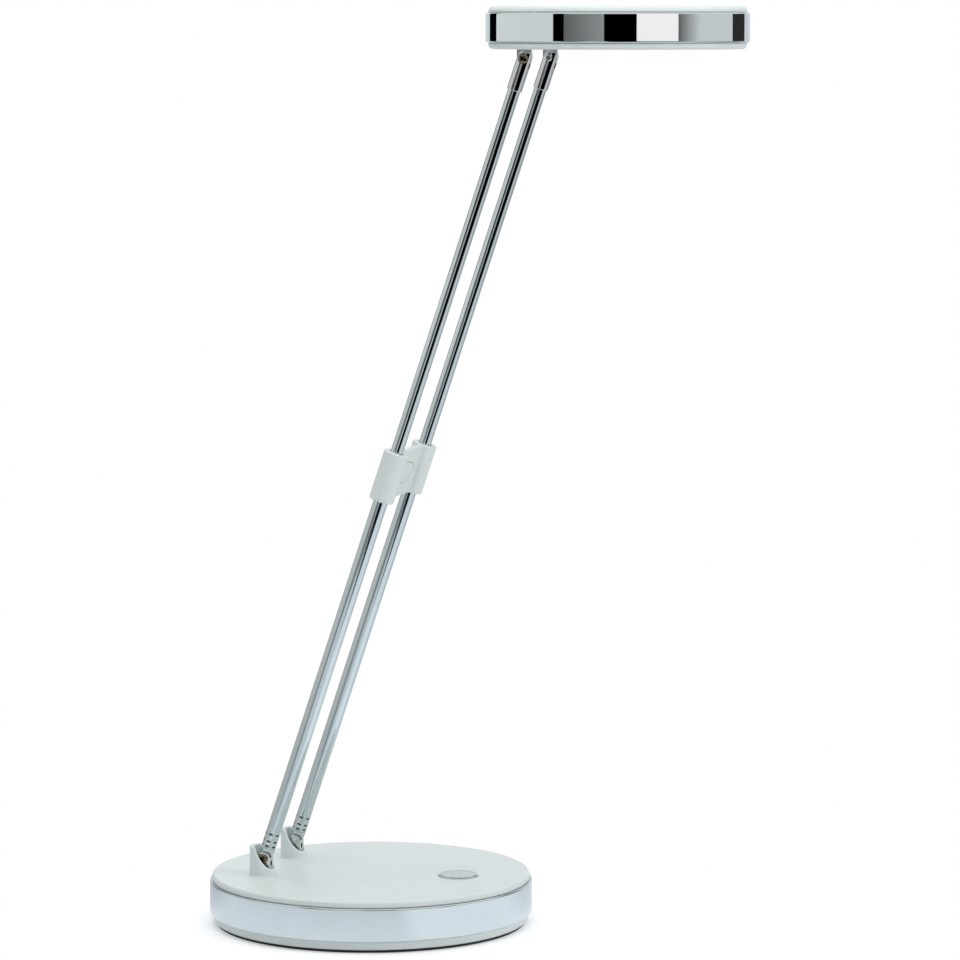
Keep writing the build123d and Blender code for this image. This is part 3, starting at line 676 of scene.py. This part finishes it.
def topFerrule(name):
    low, radius, over = -ferrule["length"], ferrule["radius"], ferrule["over"]
    boreEnd = low + ferrule["bore"]
    made = asObject(name, turned([
        (0, boreEnd), (upper["radius"], boreEnd), (upper["radius"], low), (radius, low, ferrule["lip"]),
        (radius, radius + over), (0, radius + over)], capRound))
    tip = [(radius, radius, radius * roundShare), (-radius, radius, radius * roundShare)]
    dome = [(-past, low - over), (past, low - over), (past, 0), (radius, 0), *tip, (-radius, 0), (-past, 0)]
    carve(made, prism(dome, -past, past, earSteps), operation="INTERSECT")
    carve(made, slotCutter(ferrule))
    carve(made, crossRod(ferrule["seat"], -past, -fork["halfY"]))
    carve(made, crossRod(fork["pinHole"], -past, past))
    soften(made, ferrule["edge"], ferrule["bevels"], ferrule["edgeAngle"])
    return made


upperHigh = armLength - ferrule["length"] + ferrule["bore"]
for side in ("front", "rear"):
    made = asObject("lowerTube." + side, lowerTube())
    dress(made, onSide(armFrame, side), "lower_arm", "tube_chrome", "lower_tube_" + side)
    made = tubeFoot("tubeFoot." + side)
    dress(made, onSide(armFrame, side), "lower_arm", "tube_chrome", "tube_foot_" + side)
    made = asObject("upperTube." + side, turned([
        (upper["bore"], upper["low"]), (upper["radius"], upper["low"]), (upper["radius"], upperHigh),
        (upper["bore"], upperHigh)], tubeRound))
    dress(made, onSide(armFrame, side), "upper_arm", "tube_chrome", "upper_tube_" + side)
    made = topFerrule("topFerrule." + side)
    dress(made, onSide(ferruleFrame, side), "upper_arm", "nickel", "top_ferrule_" + side)

tube, sleeve, lip, edge = lower["radius"], clip["sleeve"], clip["lip"], clip["edge"]
sleeves = []
for side in (-1, 1):
    sleeves.append(asObject("sleeve", turned([
        (tube, clip["low"], clip["boreEdge"]), (sleeve, clip["low"], edge), (sleeve, clipHigh, edge),
        (lip, clipHigh, clip["lipEdge"]), (lip, lipZ), (tube, lipZ)], clip["segments"]),
        (0, side * tubeOffset, 0)))
webReach = tubeOffset - (tube + sleeve) / 2
webHalf = clip["web"] / 2
web = asObject("armClip", prism([
    (-webHalf, clip["low"], edge), (webHalf, clip["low"], edge), (webHalf, clipHigh, edge),
    (-webHalf, clipHigh, edge)], -webReach, webReach, clip["webSteps"]))

thumb = {"halfLong": 11.2, "halfHigh": 4.7, "wire": 0.26, "around": 128, "wireSides": 12, "margin": 1.0,
         "below": 1.5}


def thumbMark():  # a fine oval groove, cut by a round wire bent to an ellipse
    bm = bmesh.new()
    loops = []
    deeper = Vector((1, 0, 0))
    long, high = thumb["halfLong"], thumb["halfHigh"]
    for angle in turnSteps(thumb["around"]):
        across, up = math.cos(angle), math.sin(angle)
        spot = Vector((webHalf, long * across, high * up + clip["low"] + clip["length"] / 2))
        outward = Vector((0, across / long, up / high)).normalized()
        steps = [outward * math.cos(a) + deeper * math.sin(a) for a in turnSteps(thumb["wireSides"])]
        loops.append([bm.verts.new(spot + thumb["wire"] * step) for step in steps])
    joinLoops(bm, loops + loops[:1])
    return facedOut(bm)


def grooveShare(spot):  # 1 at the groove's bottom, where the groove is painted darker as painted shade
    if spot.x < webHalf - thumb["below"] * thumb["wire"] or abs(spot.y) > thumb["halfLong"] + thumb["margin"]:
        return 0.0
    return smoothStep((webHalf - spot.x) / thumb["wire"])


carve(web, thumbMark())
# painted shade along the oval groove
markPoints(web.data, "recessShade", [grooveShare(vert.co) for vert in web.data.vertices])
gather(web, sleeves)
dress(web, armFrame, "lower_arm", "white_plastic", "arm_clip")
print("arm made")


# Head

headShell = {"joint": 8.8, "skirt": 53.0, "skirtBore": 51.2, "height": 18.0, "roof": 16.0, "floor": 2.0}
headBand = {"low": 2.8, "high": 15.2, "radius": 55.5, "bore": 53.2, "edge": 0.7, "boreEdge": 0.2}
headCover = {"radius": 54.3, "edge": 2.2, "gap": 0.4, "window": 34.0, "windowEdge": 0.35}
made = asObject("headBand", turned(bandSection(headBand), bandRound, bandSteps))
dress(made, headFrame, "head", "chrome", "head_band")

topCorners = coverSection(headCover, headShell, headShell["height"], headBand["high"], headShell["roof"])
made = asObject("headTopCover", turned(topCorners, coverRound, coverSteps))
dress(made, headFrame, "head", "white_plastic", "head_top_cover")

seat = {"ring": 46.0, "angles": (0, 105, 255), "radius": 2.6, "depth": 1.9, "edge": 0.25}
tab = {"halfX": 3.2, "halfY": 1.0, "edge": 0.22, "slotGap": 0.1, "slotLow": -1.0, "slotHigh": 3.0,
       "flangeBack": 7.0, "flangeHalfY": 2.4, "flangeThick": 1.2}
screwTurns = [math.radians(angle) for angle in seat["angles"]]
screwSpots = [Vector((seat["ring"] * math.cos(a), seat["ring"] * math.sin(a), 0)) for a in screwTurns]
tabX = (topHinge.x - headSpot.x) / mm
tabTop = headShell["floor"] + (headSpot.z - topHinge.z) / mm


def seatCutter():  # sunk seat of a screw head, with a small chamfer
    radius, edge, depth = seat["radius"], seat["edge"], seat["depth"]
    return turned([(0, -edge), (radius + 2 * edge, -edge), (radius, edge), (radius, depth), (0, depth)],
                  pinRound)


def tabSlot():
    halfX, halfY = tab["halfX"] + tab["slotGap"], tab["halfY"] + tab["slotGap"]
    return prism([(-halfX, tab["slotLow"]), (halfX, tab["slotLow"]), (halfX, tab["slotHigh"]),
                  (-halfX, tab["slotHigh"])], -halfY, halfY)


window = (headCover["window"], headCover["windowEdge"])
lowerCorners = coverSection(headCover, headShell, 0, headBand["low"], headShell["floor"], window)
made = asObject("headLowerCover", turned(lowerCorners, coverRound, coverSteps))
for spot in screwSpots:
    carve(made, seatCutter(), spot)
for side in (-1, 1):
    carve(made, tabSlot(), (tabX, side * tubeOffset, 0))
dress(made, headFrame, "head", "white_plastic", "head_lower_cover")

lens = {"plug": 33.8, "low": 0.4, "edge": 0.4, "flange": 36.0, "high": 3.4}
made = asObject("lensDisc", turned([
    (0, lens["low"]), (lens["plug"], lens["low"], lens["edge"]), (lens["plug"], headShell["floor"]),
    (lens["flange"], headShell["floor"]), (lens["flange"], lens["high"]), (0, lens["high"])]))
dress(made, headFrame, "head", "opal", "diffuser")

for side in ("front", "rear"):
    tongue = earOutline(tab["halfX"], tabTop)
    made = asObject("headTab." + side, prism(tongue, -tab["halfY"], tab["halfY"], earSteps))
    soften(made, tab["edge"])
    carve(made, crossRod(fork["pinHole"], -past, past))
    flangeTop = tabTop + tab["flangeThick"]
    flange = asObject("flange", prism([
        (-tab["flangeBack"], tabTop), (tab["halfX"], tabTop), (tab["halfX"], flangeTop),
        (-tab["flangeBack"], flangeTop)], -tab["flangeHalfY"], tab["flangeHalfY"]))
    gather(made, [flange])
    dress(made, onSide(tabFrame, side), "head", "nickel", "head_tab_" + side)
print("head made")


# Cross-head screws, set in place by one node tree

screws = {
    "baseHingeScrews": {"head": 2.1, "headHeight": 1.2, "shank": 1.45, "length": 5.7, "turn": 0.9, "seed": 4},
    "topHingeScrews": {"head": 2.1, "headHeight": 1.2, "shank": 1.45, "length": 6.15, "turn": 0.9, "seed": 9},
    "headScrews": {"head": 2.4, "headHeight": 1.5, "shank": 1.08, "length": 9.0, "turn": 1.4, "seed": 2},
}
panHead = {"side": 0.28, "domeSteps": 6, "point": 0.4}  # side is a share of the height
# Shares of the head's radius and height. Taper and the painted shade's reach are shares of the reach, over is in
# mm.
# The last three values bound where the cross recess is painted dark, painted shade.
recess = {"reach": 0.72, "halfSlot": 0.19, "taper": 0.6, "floor": 0.3, "over": 1.0, "shadeDepth": 0.2,
          "shadeReach": 0.8, "shadeFloor": 0.1}


def panScrew(name, size):  # head below zero, shank along +Z
    height, radius, shank, length = size["headHeight"], size["head"], size["shank"], size["length"]
    side, point = panHead["side"] * height, panHead["point"]

    def domeZ(lean):
        return -side - (height - side) * math.cos(lean)

    leans = [math.pi / 2 * k / panHead["domeSteps"] for k in range(1, panHead["domeSteps"] + 1)]
    dome = [(radius * math.sin(lean), domeZ(lean)) for lean in leans]
    made = asObject(name, turned([
        (0, -height), *dome, (radius, 0), (shank, 0), (shank, length - point), (shank - point, length),
        (0, length)], pinRound))
    reach, halfSlot = recess["reach"] * radius, recess["halfSlot"] * radius
    end, top, floor = recess["taper"] * reach, -height - recess["over"], -recess["floor"] * height
    for turn in (0, 90):
        cutter = prism([(-reach, top), (reach, top), (end, floor), (-end, floor)], -halfSlot, halfSlot)
        carve(made, spun(cutter, turn, "Z"))

    def inRecessShade(spot):  # painted shade in the cross recess: deeper than the dome, near the middle and not yet at the shank
        across = min(spot.xy.length / radius, 1.0)
        below = spot.z - domeZ(math.asin(across)) > recess["shadeDepth"] * height
        near = across < recess["shadeReach"] * reach / radius
        return below and near and spot.z < -recess["shadeFloor"] * height

    markPoints(made.data, "recessShade", [float(inRecessShade(vert.co)) for vert in made.data.vertices])
    markPoints(made.data, "bareEnd", [float(vert.co.z > length / 2) for vert in made.data.vertices])
    return made


def screwTree():
    tree = bpy.data.node_groups.new("screwsInPlace", "GeometryNodeTree")
    face = tree.interface
    face.new_socket("Points", in_out="INPUT", socket_type="NodeSocketGeometry")
    sockets = {}
    for name, kind in (("Screw", "Object"), ("Size", "Float"), ("Greatest Turn", "Float"), ("Seed", "Int"),
                       ("Finish", "Material")):
        sockets[name] = face.new_socket(name, in_out="INPUT", socket_type="NodeSocket" + kind).identifier
    face.new_socket("Screws", in_out="OUTPUT", socket_type="NodeSocketGeometry")
    source = addNode(tree, "NodeGroupInput").outputs
    shape = addNode(tree, "GeometryNodeObjectInfo", (), {"Object": source["Screw"]})
    facing = addNode(tree, "GeometryNodeInputNamedAttribute", {"Name": "intoPart"}, data_type="FLOAT_VECTOR")
    way = {"Vector": facing.outputs["Attribute"]}
    aim = addNode(tree, "FunctionNodeAlignRotationToVector", (), way, axis="Z")
    chance = addNode(tree, "FunctionNodeRandomValue", (), {"Seed": source["Seed"]})
    greatest = [socket for socket in chance.inputs if socket.name == "Max" and socket.type == "VALUE"][0]
    drawn = [socket for socket in chance.outputs if socket.type == "VALUE"][0]
    tree.links.new(source["Greatest Turn"], greatest)
    spin = addNode(tree, "FunctionNodeAxisAngleToRotation", {"Axis": (0, 0, 1)}, {"Angle": drawn})
    turns = {"Rotation": aim.outputs["Rotation"], "Rotate By": spin.outputs["Rotation"]}
    both = addNode(tree, "FunctionNodeRotateRotation", (), turns, rotation_space="LOCAL")
    spread = addNode(tree, "GeometryNodeInstanceOnPoints", (), {
        "Points": source["Points"], "Instance": shape.outputs["Geometry"],
        "Rotation": both.outputs["Rotation"], "Scale": source["Size"]})
    solid = addNode(tree, "GeometryNodeRealizeInstances", (), {"Geometry": spread.outputs["Instances"]})
    painted = {"Geometry": solid.outputs["Geometry"], "Material": source["Finish"]}
    paint = addNode(tree, "GeometryNodeSetMaterial", (), painted)
    addNode(tree, "NodeGroupOutput", (), {"Screws": paint.outputs["Geometry"]})
    return tree, sockets


placer, placerSockets = screwTree()


def setScrews(name, spots, where, body, slot, node):  # spots are (seat, way into the part)
    size = screws[name]
    sample = panScrew(name + "Sample", size)
    mesh = bpy.data.meshes.new(name)
    mesh.from_pydata([spot for spot, _ in spots], [], [])
    into = mesh.attributes.new("intoPart", "FLOAT_VECTOR", "POINT")
    into.data.foreach_set("vector", [value for _, way in spots for value in way])
    made = bpy.data.objects.new(name, mesh)
    scene.collection.objects.link(made)
    change = made.modifiers.new("screwsInPlace", "NODES")
    change.node_group = placer
    settings = {"Screw": sample, "Size": 1.0, "Greatest Turn": size["turn"], "Seed": size["seed"],
                "Finish": finishes[slot]}
    for label, value in settings.items():
        change[placerSockets[label]] = value
    settle(made)
    bpy.data.objects.remove(sample)
    dress(made, where, body, slot, node)


hingeSpots = [((0, side * (tubeOffset + fork["halfY"]), 0), (0, -side, 0)) for side in (-1, 1)]
headSpots = [((spot.x, spot.y, headShell["floor"]), (0, 0, 1)) for spot in screwSpots]
setScrews("baseHingeScrews", hingeSpots, forkFrame, "base", "screw_brass", "base_hinge_screws")
setScrews("topHingeScrews", hingeSpots, ferruleFrame, "upper_arm", "screw_brass", "top_hinge_screws")
setScrews("headScrews", headSpots, headFrame, "head", "zinc_steel", "head_screws")
print("screws set")


# Every CAD node gets its finish, and the inner ones are seen as they are

for entry in frame["record"]["subparts"]:
    node = frame["nodes"][entry["node"]]
    node.data.materials.clear()
    node.data.materials.append(finishes[entry["material_slot"]])


# Studio: white table, soft light, and panels that only the bright metal sees

def emptyTree(owner):
    owner.use_nodes = True
    owner.node_tree.nodes.clear()
    return owner.node_tree


def glow(name, colour):
    material = bpy.data.materials.new(name)
    tree = emptyTree(material)
    tone = addNode(tree, "Attribute", attribute_name="tone")
    light = addNode(tree, "Emission", {"Color": (*colour, 1)}, {"Strength": tone.outputs["Fac"]})
    addNode(tree, "OutputMaterial", (), {"Surface": light.outputs["Emission"]})
    return material


# Degrees round the head from the front (-Y) towards +X, height in metres, tones at the two lower corners
# and, where they differ, at the upper ones
panels = {
    "radius": 0.85, "stepTurn": 3,
    "strips": (
        ((-131, -114), (0.0, 0.32), (0.45, 0.45), (0.20, 0.20)),
        ((-131, -114), (0.32, 0.75), (0.0, 0.0)),
        ((-114, -42), (0.0, 0.36), (0.56, 0.60), (0.82, 0.82)),
        ((-114, -42), (0.36, 0.42), (0.96, 0.96)),
        ((-114, -42), (0.42, 0.75), (0.82, 0.82)),
        ((-42, -32), (0.0, 0.34), (0.60, 0.30), (0.45, 0.05)),
        ((-42, -32), (0.34, 0.75), (0.0, 0.0)),
        ((-32, -13), (0.0, 0.34), (0.32, 0.34), (0.05, 0.06)),
        ((-13, 5), (0.0, 0.34), (0.78, 0.70), (0.40, 0.36)),
        ((-32, -13), (0.34, 0.374), (0.04, 0.05)),
        ((-13, 2.6), (0.34, 0.374), (0.34, 0.30), (0.30, 0.24)),
        ((-32, 2.6), (0.374, 0.55), (0.17, 0.40)),
        ((5, 68), (0.0, 0.34), (0.0, 0.0)),
        ((2.6, 29.7), (0.34, 0.55), (0.0, 0.0)),
        ((68, 84), (0.0, 0.34), (0.0, 0.60)),
        ((66, 88), (0.34, 0.60), (0.16, 0.88)),
        ((84, 129.4), (0.0, 0.34), (0.60, 0.50)),
        ((88, 129.4), (0.34, 0.60), (0.88, 0.88)),
        ((129.4, 155), (0.0, 0.34), (0.30, 0.30)),
        ((129.4, 155), (0.34, 0.60), (0.035, 0.035))),
    "window": ((29.7, 66), (0.34, 0.60), (1.33, 1.33)),
    "rear": ((-205, -131), (0.0, 0.75), (0.85, 0.85)),
    "stripGlow": (0.985, 1.0, 1.0), "windowGlow": (1.07, 1.0, 1.0), "rearGlow": (0.89, 0.95, 1.0),
}


def stagePanel(name, verts, faces, tones, finish):
    mesh = bpy.data.meshes.new(name)
    mesh.from_pydata(verts, [], faces)
    markPoints(mesh, "tone", tones)
    mesh.materials.append(finish)
    panel = bpy.data.objects.new(name, mesh)
    scene.collection.objects.link(panel)
    panel.visible_camera = False
    panel.visible_diffuse = False
    panel.visible_shadow = False
    panel.visible_transmission = False


def standingPanel(name, finish, turns, heights, lowTones, highTones=None):
    count = max(2, int((turns[1] - turns[0]) / panels["stepTurn"]))
    verts, tones = [], []
    for k in range(count + 1):
        angle = math.radians(turns[0] + (turns[1] - turns[0]) * k / count)
        x, y = headSpot.x + panels["radius"] * math.sin(angle), -panels["radius"] * math.cos(angle)
        for height, ends in zip(heights, (lowTones, highTones or lowTones)):
            verts.append((x, y, height))
            tones.append(ends[0] + (ends[1] - ends[0]) * k / count)
    faces = [(2 * k, 2 * k + 2, 2 * k + 3, 2 * k + 1) for k in range(count)]
    stagePanel(name, verts, faces, tones, finish)


panelFinish = glow("panelGlow", panels["stripGlow"])
for index, strip in enumerate(panels["strips"]):
    standingPanel(f"panel{index}", panelFinish, *strip)
standingPanel("windowPanel", glow("windowGlow", panels["windowGlow"]), *panels["window"])
standingPanel("rearPanel", glow("rearGlow", panels["rearGlow"]), *panels["rear"])

# Painted reflection of the table, on a glowing sheet that only the metal sees: two sides that fade
# outwards, with a painted gleam, a grey sector and a dark wedge that opens outwards
apron = {
    "turns": [*range(-180, -40, 4), *range(-40, 36, 2), 35, 37, *range(38, 80, 2), *range(80, 181, 4)],
    "rings": (0.072, 0.10, 0.14, 0.18, 0.22, 0.26, 0.30, 0.34, 0.38, 0.42, 0.47, 0.52, 0.58, 0.65, 0.72, 0.80,
              0.88, 0.98),
    "height": 0.0004, "glow": (0.885, 0.945, 1.0),
    "left": {"near": 1.08, "fall": 0.20, "from": 0.10, "over": 0.10,
             "turn": 70, "turnOver": 35, "turnFall": 0.32},
    "right": {"near": 1.20, "fall": 0.53, "from": 0.10, "over": 0.70,
              "turn": 95, "turnOver": 40, "turnFall": 0.25},
    "meet": {"turn": 30, "over": 12},
    "gleam": {"turn": 86.0, "halfTurn": 16.0, "from": 0.35, "over": 0.25, "tone": 0.26},
    "grey": {"turn": -22.0, "halfTurn": 9.0, "soft": 4.0, "from": 0.18, "over": 0.20, "share": 0.55},
    "wedge": {"turn": 33.0, "halfTurn": 37.0, "soft": 5.0, "from": 0.27, "end": 0.80, "over": 0.05},
}


def outwards(zone, reach):
    return smoothStep((reach - zone["from"]) / zone["over"])


def within(zone, half, turn):  # 1 inside a sector with soft sides
    return smoothStep((half + zone["soft"] - abs(turn - zone["turn"])) / (2 * zone["soft"]))


def sideTone(side, turn, reach):
    away = smoothStep((abs(turn) - side["turn"]) / side["turnOver"])
    return (side["near"] - side["fall"] * outwards(side, reach)) * (1 - side["turnFall"] * away)


def apronTone(turn, reach):
    meet, gleam, grey, wedge = apron["meet"], apron["gleam"], apron["grey"], apron["wedge"]
    left, right = sideTone(apron["left"], turn, reach), sideTone(apron["right"], turn, reach)
    tone = left + (right - left) * smoothStep((turn - meet["turn"]) / meet["over"])
    offGleam = abs(turn - gleam["turn"]) / gleam["halfTurn"]
    tone += gleam["tone"] * smoothStep(1 - offGleam) * outwards(gleam, reach)
    tone *= 1 - grey["share"] * within(grey, grey["halfTurn"], turn) * outwards(grey, reach)
    opened = min(max((reach - wedge["from"]) / (wedge["end"] - wedge["from"]), 0), 1)
    return tone * (1 - within(wedge, wedge["halfTurn"] * opened, turn) * outwards(wedge, reach))


verts, tones, faces = [], [], []
for k, turn in enumerate(apron["turns"]):
    angle = math.radians(turn)
    for n, reach in enumerate(apron["rings"]):
        verts.append((reach * math.sin(angle), -reach * math.cos(angle), apron["height"]))
        tones.append(apronTone(turn, reach))
        if k and n:
            here, width = len(verts) - 1, len(apron["rings"])
            faces.append((here - width - 1, here - 1, here, here - width))
stagePanel("apron", verts, faces, tones, glow("apronGlow", apron["glow"]))

floor = {"half": 6.0, "height": -0.0002, "tone": (0.785, 0.80, 0.82), "lift": 0.34,
         "glint": (0.90, 0.96, 1.0), "fade": (0.085, 0.17)}
mesh = bpy.data.meshes.new("table")
half = floor["half"]
mesh.from_pydata([(-half, -half, 0), (half, -half, 0), (half, half, 0), (-half, half, 0)], [], [(0, 1, 2, 3)])
table = bpy.data.objects.new("table", mesh)
table.location.z = floor["height"]
scene.collection.objects.link(table)


def seenWhite(tree):  # 1 where the camera, a mirror or clear plastic looks
    path = addNode(tree, "LightPath").outputs
    direct = {0: path["Is Camera Ray"], 1: path["Is Glossy Ray"]}
    first = addNode(tree, "Math", (), direct, operation="MAXIMUM").outputs["Value"]
    both = {0: first, 1: path["Is Transmission Ray"]}
    return addNode(tree, "Math", (), both, operation="MAXIMUM").outputs["Value"]


def tableFinish(name):  # keeps the lamp's shadow near it and turns plain white further out
    material = bpy.data.materials.new(name)
    tree = emptyTree(material)
    looked = seenWhite(tree)
    paint = addNode(tree, "BsdfDiffuse", {"Color": (*floor["tone"], 1)})
    raised = addNode(tree, "Math", {1: floor["lift"]}, {0: looked}, operation="MULTIPLY")
    lift = addNode(tree, "Emission", (), {"Strength": raised.outputs["Value"]})
    near = addNode(tree, "AddShader", (), {0: paint.outputs["BSDF"], 1: lift.outputs["Emission"]})
    path = addNode(tree, "LightPath")
    tint = addNode(tree, "Mix", {"A": (*floor["glint"], 1), "B": (1, 1, 1, 1)},
                   {"Factor": path.outputs["Is Camera Ray"]}, data_type="RGBA")
    far = addNode(tree, "Emission", (), {"Color": tint.outputs["Result"]})
    where = addNode(tree, "TexCoord").outputs["Object"]
    distance = addNode(tree, "VectorMath", (), {0: where}, operation="LENGTH")
    fade = addNode(tree, "MapRange", {"From Min": floor["fade"][0], "From Max": floor["fade"][1]},
                   {"Value": distance.outputs["Value"]}, interpolation_type="SMOOTHSTEP")
    share = addNode(tree, "Math", (), {0: looked, 1: fade.outputs["Result"]}, operation="MULTIPLY")
    ends = {"Fac": share.outputs["Value"], 1: near.outputs["Shader"], 2: far.outputs["Emission"]}
    blend = addNode(tree, "MixShader", (), ends)
    addNode(tree, "OutputMaterial", (), {"Surface": blend.outputs["Shader"]})
    return material


table.data.materials.append(tableFinish("tablePaint"))

sky = {"ambient": 0.57, "seen": 1.0}
scene.world = bpy.data.worlds.new("studio")
tree = emptyTree(scene.world)
ends = {"Fac": seenWhite(tree)}
for number, key in ((1, "ambient"), (2, "seen")):
    white = addNode(tree, "Background", {"Color": (1, 1, 1, 1), "Strength": sky[key]})
    ends[number] = white.outputs["Background"]
mix = addNode(tree, "MixShader", (), ends)
addNode(tree, "OutputWorld", (), {"Surface": mix.outputs["Shader"]})

lamps = {
    "topLight": {"spot": (-0.15, 0.30, 2.0), "aim": (0.02, 0, 0.15), "size": 1.9, "power": 13.6},
    "sideLight": {"spot": (1.7, -0.35, 0.9), "aim": (0.02, 0, 0.15), "size": 1.2, "power": 9.0},
    "headLight": {"spot": (0.08, -0.28, 0.62), "aim": (0.10, 0, 0.40), "size": 0.2, "power": 0.40},
}
for name, lamp in lamps.items():
    light = bpy.data.lights.new(name, "AREA")
    light.shape = "DISK"
    light.size = lamp["size"]
    light.energy = lamp["power"]
    made = bpy.data.objects.new(name, light)
    made.location = lamp["spot"]
    made.rotation_mode = "QUATERNION"
    made.rotation_quaternion = (Vector(lamp["aim"]) - made.location).to_track_quat("-Z", "Y")
    made.visible_glossy = False
    scene.collection.objects.link(made)

view = {"spot": (0.550, -1.784, 0.3869), "heading": 15.68, "pitch": 5.937, "lens": 163.3, "sensor": 36.0}
camera = bpy.data.objects.new("camera", bpy.data.cameras.new("camera"))
camera.data.lens = view["lens"]
camera.data.sensor_width = view["sensor"]
camera.location = view["spot"]
heading, pitch = math.radians(view["heading"]), math.radians(view["pitch"])
ahead = Vector((-math.sin(heading) * math.cos(pitch), math.cos(heading) * math.cos(pitch), -math.sin(pitch)))
camera.rotation_mode = "QUATERNION"
camera.rotation_quaternion = ahead.to_track_quat("-Z", "Y")
scene.collection.objects.link(camera)
scene.camera = camera
scene.view_settings.view_transform = "Standard"
print("studio set")
